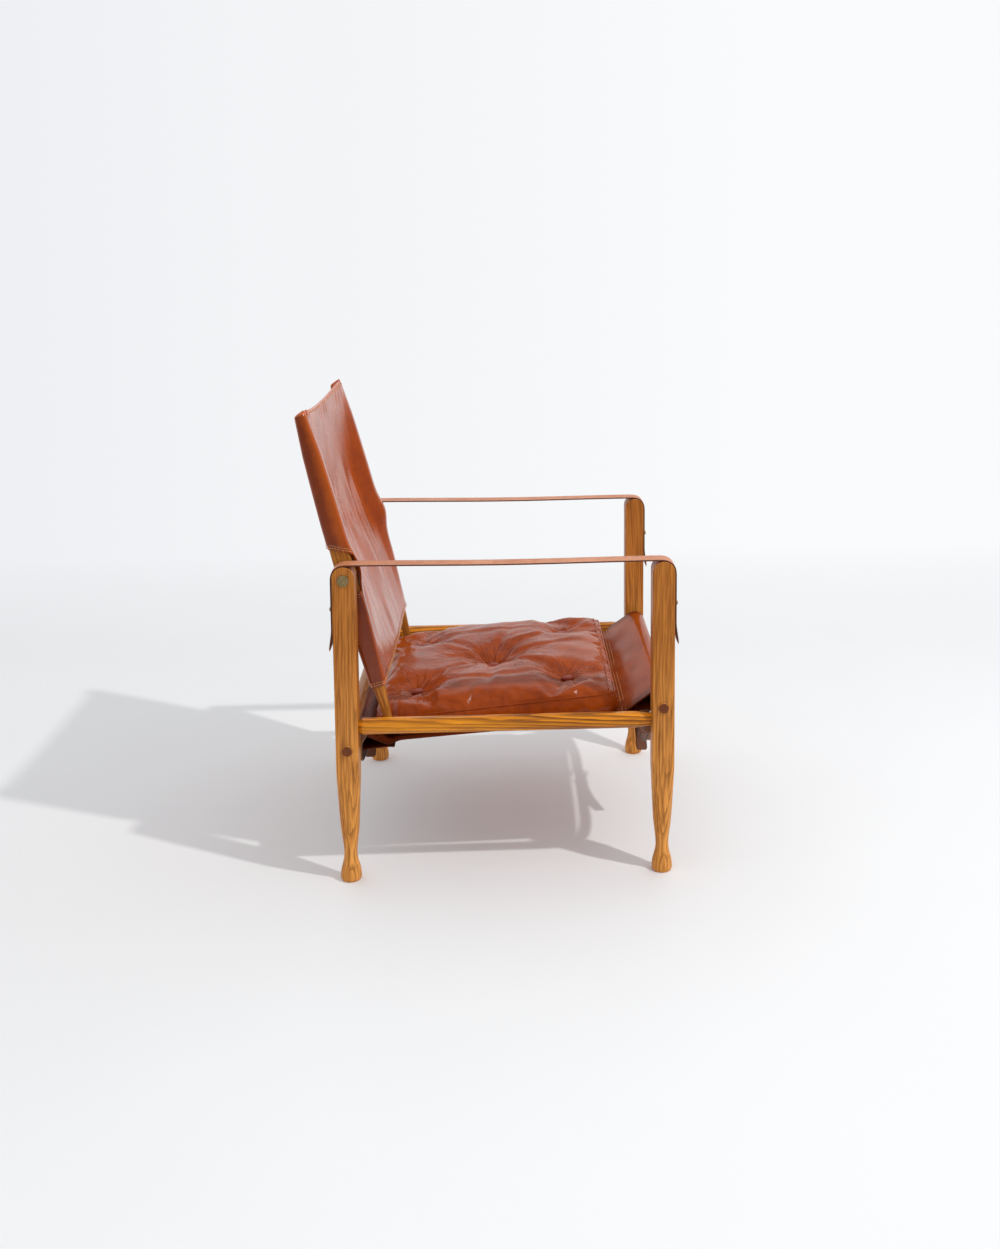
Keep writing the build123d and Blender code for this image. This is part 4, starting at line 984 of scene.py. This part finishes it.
def cushion_form(spots, counts):
    """Where each place of the block lies. The boxing stands up to the seam, whose height grows
    from the rear to the front. Above it the top rolls in from its edges like a pillow, by high
    powers of the place across and along, and sinks to the buttons by an exponential bowl."""
    t = spots / np.array(counts) * np.array([2, 2, 1]) - np.array([1, 1, 0])
    u, v = (t[:, k] * (1.07 - 0.07 * t[:, k] ** 6) for k in (0, 1))
    w = t[:, 2]
    top = spots[:, 2] == counts[2]
    swell = np.sin(np.pi * w) * (~top)
    forward = (v + 1) / 2
    along = 0.004 + forward * (cushion_depth - 0.008) + 0.003 * swell * v**3
    half = cushion_half - 0.005 - 0.014 * (1 - soft_step((along - 0.022) / 0.014))
    half = half - 0.010 * soft_step((forward - 0.955) / 0.045) ** 2
    x = u * half + 0.003 * swell * u**3
    along = along - 0.010 * (1 - soft_step(forward / 0.10)) * soft_step((0.206 - np.abs(x)) / 0.03)
    seam = 0.033 + 0.008 * forward + 0.005 * soft_step((forward - 0.9) / 0.1) * (1 - u**2)
    crown = 0.052 + 0.011 * (1 - np.abs(u) ** 2.4) * (1 - np.abs(v) ** 2.6)
    crown = crown - 0.009 * np.exp(-((x / 0.085) ** 2) - (((along - 0.475 * cushion_depth) / 0.080) ** 2))
    crown = crown - 0.004 * soft_step((forward - 0.8) / 0.2)
    roll = np.clip(1 - np.abs(u) ** 15, 0, 1) ** 0.45 * np.clip(1 - np.abs(v) ** 22, 0, 1) ** 0.45
    height = np.where(top, seam + (crown - seam) * roll, w * seam)
    button_half, button_sunk = 0.0115, 0.0052
    for place, share, level in button_spots:
        away = np.hypot(x - place, along - share * cushion_depth)
        bowl = np.exp(-np.maximum(away - button_half, 0) / (0.024 if place == 0 else 0.018))
        height = np.where(top, height * (1 - bowl) + (level - button_sunk) * bowl, height)
    return x, along, height, top, seam


def filled(mesh, held):
    """Fill the cushion: a cloth run with inside pressure, with the held places kept. No place
    moves farther than seven millimetres."""
    farthest, steps = 0.007, 20
    form = np.empty(len(mesh.vertices) * 3, np.float32)
    mesh.vertices.foreach_get("co", form)
    form = form.reshape(-1, 3).astype(float)
    body = bpy.data.objects.new("filling", mesh)
    bpy.context.scene.collection.objects.link(body)
    group = body.vertex_groups.new(name="held")
    for weight in (1.0, 0.8):
        group.add(np.nonzero(np.isclose(held, weight))[0].tolist(), weight, "REPLACE")
    cloth = body.modifiers.new("cloth", "CLOTH")
    for name, value in dict(
        quality=5, mass=0.35, tension_stiffness=12.0, compression_stiffness=8.0, shear_stiffness=4.0,
        bending_stiffness=0.35, tension_damping=12.0, shrink_min=-0.045, vertex_group_mass="held",
        use_pressure=True, uniform_pressure_force=3.0,
    ).items():
        setattr(cloth.settings, name, value)
    cloth.settings.effector_weights.gravity = 0.0
    cloth.point_cache.frame_end = steps
    for frame_number in range(1, steps + 1):
        bpy.context.scene.frame_set(frame_number)
    done = body.evaluated_get(bpy.context.evaluated_depsgraph_get()).to_mesh()
    moved = np.empty(len(done.vertices) * 3, np.float32)
    done.vertices.foreach_get("co", moved)
    bpy.context.scene.frame_set(1)
    bpy.data.objects.remove(body)
    shift = moved.reshape(-1, 3).astype(float) - form
    length = np.linalg.norm(shift, axis=1, keepdims=True)
    return form + shift * np.minimum(1, farthest / np.maximum(length, 1e-9))


def creases(x, along, height, seam):
    """How far the top's skin sinks: pull lines, each a valley of bell section with a low bank, run
    from button to button and out to the edges, short gathers fan out of each button by a power of
    a cosine of the direction, and small upright puckers stand along the seam."""
    spots = np.array([(place, share * cushion_depth) for place, share, _ in button_spots])
    centre, rear_right, rear_left, near_right, near_left = spots
    far_edge, near_edge, side_edge = 0.012, cushion_depth - 0.012, cushion_half - 0.012
    pulls = [(centre, spot, 0.0042, 0.0085) for spot in spots[1:]]
    pulls += [
        (start, np.array(end), depth, width)
        for start, end, depth, width in (
            (rear_right, (-side_edge, far_edge), 0.0026, 0.0075),
            (near_right, (-side_edge, near_edge), 0.0026, 0.0075),
            (rear_left, (side_edge, far_edge), 0.0026, 0.0075),
            (near_left, (side_edge, near_edge), 0.0026, 0.0075),
            (rear_right, near_right, 0.0018, 0.008), (rear_left, near_left, 0.0018, 0.008),
            (centre, (-0.21, 0.19), 0.0030, 0.008), (centre, (0.20, 0.24), 0.0026, 0.009),
            (centre, (0.03, cushion_depth - 0.02), 0.0022, 0.009),
            (rear_right, (-0.215, 0.10), 0.0022, 0.006), (near_right, (-0.215, 0.30), 0.0024, 0.006),
        )
    ]
    sink = np.zeros_like(x)
    for number, (start, end, depth, width) in enumerate(pulls):
        way = end - start
        length = np.hypot(*way)
        way = way / length
        run = ((x - start[0]) * way[0] + (along - start[1]) * way[1]) / length
        off = (x - start[0]) * way[1] - (along - start[1]) * way[0]
        off = off - 0.0045 * np.sin(run * 7.3 + number * 1.7) * np.sin(np.pi * np.clip(run, 0, 1))
        wide = width * (0.75 + 0.5 * np.sin(run * 5 + number * 2.1) ** 2)
        fade = soft_step(run / 0.08 + 0.2) * soft_step((1 - run) / 0.35)
        valley = bell(off, 0, wide) - 0.55 * bell(off, 1.9 * wide, 1.1 * wide)
        sink += depth * fade * valley
    for number, (place, far) in enumerate(spots):
        away = np.hypot(x - place, along - far)
        turn = np.arctan2(along - far, x - place)
        fan = (0.5 + 0.5 * np.cos(turn * 7 + number * 1.9 + 14 * away)) ** 3
        sink += 0.0022 * fan * bell(away, 0.018, 0.016)
    near_seam = np.exp(-np.clip(height - seam, 0, 1) / 0.010)
    edge = np.minimum(cushion_half - np.abs(x), np.minimum(along, cushion_depth - along))
    line = along + x
    pucker = np.sin(line * 260 + 3.5 * np.sin(line * 47)) * np.sin(line * 31 + 0.7) ** 2
    sink += 0.0011 * pucker * near_seam * np.exp(-edge / 0.02)
    broad = 0.0012 * np.sin(x * 55 + 2 * np.sin(along * 23)) * np.sin(along * 49 + 1.2 + 2 * np.sin(x * 19))
    return sink + broad * soft_step(edge / 0.03)


def make_cushion():
    """The box cushion, filled, creased and with its seam's welt and the ridge behind its front."""
    counts = (84, 78, 5)
    spots, faces = block_shell(counts)
    x, along, height, top, seam = cushion_form(spots, counts)
    form = cushion_point(x, along, height)
    mesh = solid_mesh("cushion", form, faces.tolist())
    rim = (spots[:, 0] == 0) | (spots[:, 0] == counts[0]) | (spots[:, 1] == 0) | (spots[:, 1] == counts[1])
    held = np.where(spots[:, 2] == 0, 1.0, 0.0)
    held[top & rim] = 0.8
    calm = np.ones(len(x))
    for place, share, _ in button_spots:
        away = np.hypot(x - place, along - share * cushion_depth)
        held[top & (away < 0.013)] = 1.0
        calm = np.where(top, np.minimum(calm, soft_step((away - 0.012) / 0.055)), calm)
    points = form + (filled(mesh, held) - form) * calm[:, None]
    up = np.array([0, np.sin(slope), np.cos(slope)])
    points = points - (creases(x, along, height, seam) * (top & ~rim))[:, None] * up
    mesh.vertices.foreach_set("co", points.astype(np.float32).ravel())
    cushion = make_object("cushion", mesh, "frame", cushion_leather)
    smooth = cushion.modifiers.new("finer", "SUBSURF")
    smooth.levels = smooth.render_levels = 1
    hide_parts("seat_cushion")
    order = np.full((counts[0] + 1, counts[1] + 1), -1)
    order[spots[top, 0], spots[top, 1]] = np.nonzero(top)[0]
    line = points[np.concatenate([order[:-1, 0], order[-1, :-1], order[:0:-1, -1], order[0, :0:-1]])]
    for _ in range(2):
        line = (np.roll(line, 1, 0) + 2 * line + np.roll(line, -1, 0)) / 4
    out = (line - line.mean(0)) * np.array([1, 1, 0])
    ridge = points[order[2:-2, -4]] + up * 0.0002
    for name, path, facing, radius, closed in (
        ("cushion_welt", line + unit(out) * 0.0006, out, 0.0014, True),
        ("cushion_ridge", ridge, np.tile(up, (len(ridge), 1)), 0.0013, False),
    ):
        mesh = tube_mesh(name, path, facing, radius, closed)
        make_object(name, mesh, "frame", cushion_leather)


make_cushion()


# Arm straps
def make_arm_strap(side, name):
    """A strap over both leg tops: its line is nearly straight between them, sagging by a squared
    sine, bends round each top and falls as a tail that stands off a little towards its end."""
    width = 0.034
    radius = leg_half + 0.0003 + arm_strap_leather / 2
    bend = leg_height - leg_half
    tip = leg_height - 0.146
    flare, sag, straight_tail = 0.005, 0.0022, 0.034
    turn = np.linspace(0, quarter, 14)
    front = np.array([front_leg_y, bend])
    rear = np.array([rear_leg_y, bend])
    span = np.linspace(0, 1, 60)[1:-1, None]
    top_rear, top_front = rear + (0, radius), front + (0, radius)
    line = np.concatenate(
        [
            [[rear[0] + radius + flare, tip], [rear[0] + radius, tip + straight_tail]],
            rear + radius * np.stack([np.cos(turn), np.sin(turn)], -1),
            top_rear + (top_front - top_rear) * span - np.array([0, sag]) * np.sin(np.pi * span) ** 2,
            front + radius * np.stack([-np.sin(turn), np.cos(turn)], -1),
            [[front[0] - radius, tip + straight_tail], [front[0] - radius - flare, tip]],
        ]
    )
    line = softened(spaced(line, pitch=0.004), 3)
    centre = np.stack([np.full(len(line), side * leg_x), line[:, 0], line[:, 1]], -1)
    across = np.tile(np.array([1.0, 0, 0]), (len(line), 1))
    mesh = strap_mesh("arm_band_" + name, centre, across, width, arm_strap_leather)
    strap = make_object("arm_band_" + name, mesh, "frame", strap_leather)
    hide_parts("arm_strap_" + name)


for side, name in ((-1, "right"), (1, "left")):
    make_arm_strap(side, name)


# Girth straps
def rounded_line(corners, radius=0.006, pitch=0.003):
    """A line through corners, softened by averaging over the radius."""
    return softened(spaced(np.array(corners, float), pitch=pitch), int(radius / pitch) ** 2 // 2 + 2)


def make_girth_straps(end):
    """The buckle strap from the right and the tongue strap from the left, which passes through
    the buckle and hangs as a tail. Both drop from their tabs on the side rails."""
    leg_y, inwards = (front_leg_y, 1) if end == "front" else (rear_leg_y, -1)
    tab_y = leg_y + inwards * 0.0296
    mid_y = tab_y - inwards * 0.013
    hidden_y = tab_y - inwards * 0.0175
    tab_x = leg_x - 0.013 - 0.0015
    gap_x = leg_x - 0.0222
    z = 0.198
    under, over = z - 0.0012, z + 0.0035

    def drop(sign, low, level):
        """The strap's corners from its tab down to its own level under the seat."""
        if end == "front":
            down = [(gap_x, hidden_y, 0.240), (gap_x - 0.026, hidden_y + 0.002, low + 0.018),
                    (gap_x - 0.062, mid_y, low + 0.003)]
        else:
            down = [(gap_x, hidden_y, 0.236), (gap_x, hidden_y, low + 0.007), (gap_x - 0.007, hidden_y, low)]
        corners = [(tab_x, tab_y, 0.2835), (tab_x, tab_y, 0.265), *down, (gap_x - 0.10, mid_y, level)]
        return [(sign * x, y, height) for x, y, height in corners]

    right = rounded_line(drop(-1, 0.199, under) + [(0.047, mid_y, under)])
    left = rounded_line(drop(1, 0.204, over) + [(0.078, mid_y, over)])
    tail = rounded_line([(0.078, mid_y, over), (0.050, mid_y, z - 0.0062), (0.01, mid_y, z - 0.0064),
                         (-0.036, mid_y, z - 0.020), (-0.084, mid_y, z - 0.054)])
    width, from_edge, sewn = 0.020, 0.0075, slice(4, 34)
    for label, line in (("buckle", right), ("tongue", np.concatenate([left, tail[1:]]))):
        across = np.tile(np.array([0.0, 1.0, 0.0]), (len(line), 1))
        name = f"{end}_girth_{label}_band"
        mesh = strap_mesh(name, line, across, width, leather)
        strap = make_object(name, mesh, "frame", girth_leather)
        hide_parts(f"{end}_girth_{label}_strap")
        along = unit(np.gradient(line, axis=0))
        wide = square_to(along, across)
        out = np.cross(wide, along)
        rows = [
            stitch_row((line + wide * shift + out * (lift * 0.0013))[sewn], out[sewn] * lift, 0.0044)
            for shift in (-from_edge, from_edge) for lift in (-1, 1)
        ]
        thread_object(name + "_thread", rows, "frame")


for end in ("front", "rear"):
    make_girth_straps(end)


def make_keepers():
    """Two flat loops round the girth straps, one for each end. A loop's line is an oblong with
    round corners, abs(cos) ** 0.3 and abs(sin) ** 0.3 of the turn."""
    low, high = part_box("strap_keepers")
    thick = 0.0016
    middle = (low + high) / 2
    tall = (high.z - low.z - thick) / 2
    turn = round_about(72)
    for end, edge, centre_y, sign in (
        ("front", low.y, front_leg_y + 0.0166, 1),
        ("rear", high.y, rear_leg_y - 0.0166, -1),
    ):
        broad = abs(centre_y - edge) - thick / 2
        across = power_curve(np.cos(turn), 0.3) * broad
        up = power_curve(np.sin(turn), 0.3) * tall
        line = [np.full(72, middle.x), edge + sign * (thick / 2 + broad) + across, middle.z + up]
        line = np.stack(line, -1)
        line = spaced(np.vstack([line, line[:1]]), count=65)[:-1]
        beside, above = (line[:, 1] - line[:, 1].mean()) / broad, (line[:, 2] - middle.z) / tall
        out = np.stack([0 * beside, beside, above], -1)
        out = out * np.abs(out) ** 3
        mesh = tube_mesh(end + "_keeper", line, out, thick / 2, True, (high.x - low.x) / 2)
        loop = make_object(end + "_keeper", mesh, "frame", girth_leather)
        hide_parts("strap_keepers")


make_keepers()


# Floor, light and camera. The background is a little darker to the left, as in the photograph.
def background(tree, sideways, ahead, nearest):
    """The background's colour, by how far a point is sideways for each metre ahead."""
    beside = tree.math("DIVIDE", sideways, tree.math("MAXIMUM", ahead, nearest))
    # The darker left is painted shade in the background's colour.
    right, left = (0.955, 0.965, 0.980), (0.845, 0.855, 0.880)
    return tree.blend(tree.spread(beside, -0.22, 0.45), right, left)


def make_stage():
    """A pale floor that fades into the background's own colour away from the chair."""
    mesh = bpy.data.meshes.new("floor")
    reach = 40.0
    corners = [(-reach, -reach, 0), (reach, -reach, 0), (reach, reach, 0), (-reach, reach, 0)]
    mesh.from_pydata(corners, [], [(0, 1, 2, 3)])
    floor = bpy.data.objects.new("floor", mesh)
    bpy.context.scene.collection.objects.link(floor)
    ground = Finish("floor_paper")
    x, y, _ = ground.parts(ground.where)
    toward_lamp = ground.times(ground.plus(x, y), -0.7071)
    fade = ground.math("MAXIMUM", ground.spread(ground.far(x, y), 1.7, 3.2), ground.spread(x, 1.0, 2.1))
    fade = ground.math("MAXIMUM", fade, ground.spread(toward_lamp, 0.55, 1.5, 0.0, 0.9))
    paper = ground.spread(ground.noise(ground.where, 3.0, 2.0), 0.3, 0.7)
    colour = ground.blend(paper, (0.860, 0.866, 0.876), (0.850, 0.856, 0.866))
    ground.feed(ground.shader.inputs["Base Color"], colour)
    ground.levels({"Roughness": 0.9, "Specular IOR Level": 0.1})
    sweep = background(ground, y, ground.plus(x, 2.48), 0.5)
    # Where the floor fades it glows with the background's colour: the camera sees it, and it also lights the
    # chair, weaker on the camera's side.
    seen_by = ground.add("LightPath").outputs["Is Camera Ray"]
    front = ground.math("MAXIMUM", seen_by, ground.spread(x, -2.4, -0.8, 0.22, 1.0))
    glow = ground.add("Emission", {"Color": sweep, "Strength": front})
    seen = ground.add("MixShader", {0: fade, 1: ground.shader.outputs[0], 2: glow.outputs[0]})
    ground.feed(ground.nodes["Material Output"].inputs["Surface"], seen.outputs[0])
    mesh.materials.append(ground.material)


def make_light():
    """One soft lamp above the front right, and an even white surround, dimmer behind the camera
    where the leather would mirror it."""
    lamp = bpy.data.lights.new("key", "AREA")
    lamp.shape = "DISK"
    lamp.size = 0.15
    lamp.energy = 78.0
    lamp.color = (1.0, 0.985, 0.96)
    key = bpy.data.objects.new("key", lamp)
    key.location = (-1.62, -2.206, 3.80)
    key.rotation_euler = (Vector((0, 0, 0.35)) - key.location).to_track_quat("-Z", "Y").to_euler()
    bpy.context.scene.collection.objects.link(key)
    world = bpy.data.worlds.new("surround")
    bpy.context.scene.world = world
    world.use_nodes = True
    room = Nodes(world.node_tree)
    ahead, sideways, above = room.parts(room.add("TexCoord").outputs["Generated"])
    path = room.add("LightPath").outputs
    mirrored = room.math("MAXIMUM", path["Is Glossy Ray"], path["Is Transmission Ray"])
    dimmed = room.spread(ahead, -0.30, 0.45, 0.20, 1.0), room.spread(above, 0.25, 0.95, 0.20, 1.0)
    white = background(room, sideways, ahead, 0.05)
    dimmer = room.spread(ahead, -0.30, 0.45, 0.66, 1.0), room.spread(above, 0.10, 0.80, 1.15, 0.72)
    fill = room.nodes["Background"]
    fill.inputs["Color"].default_value = (0.97, 0.985, 1.0, 1)
    room.feed(fill.inputs["Strength"], room.times(room.times(*dimmer), 1.20))
    strength = room.math("MAXIMUM", path["Is Camera Ray"], room.math("MAXIMUM", *dimmed))
    shown = room.add("Background", {"Color": white, "Strength": strength})
    either = room.math("MAXIMUM", path["Is Camera Ray"], mirrored)
    mix = room.add("MixShader", {0: either, 1: fill.outputs[0], 2: shown.outputs[0]})
    room.feed(room.nodes["World Output"].inputs["Surface"], mix.outputs[0])


def make_camera():
    """The photograph's view: slightly from above, on the chair's right side."""
    lens = bpy.data.cameras.new("camera")
    lens.lens = 38.605
    lens.sensor_width = 36.0
    lens.shift_x = -0.07165
    lens.shift_y = -0.18349
    lens.clip_end = 200.0
    camera = bpy.data.objects.new("camera", lens)
    forward = Vector((0.99057, -0.0605, -0.12289)).normalized()
    right = Vector((-0.06096, -0.99814, 0.0)).normalized()
    up = right.cross(forward).normalized()
    roll = -0.0026
    right, up = right * np.cos(roll) + up * np.sin(roll), up * np.cos(roll) - right * np.sin(roll)
    place = (-2.4792, (front_leg_y + rear_leg_y) / 2 - 0.00924, 1.11033)
    camera.matrix_world = Matrix.Translation(place) @ Matrix((right, up, -forward)).transposed().to_4x4()
    bpy.context.scene.collection.objects.link(camera)
    bpy.context.scene.camera = camera


make_stage()
make_light()
make_camera()
bpy.context.scene.view_settings.view_transform = "Standard"
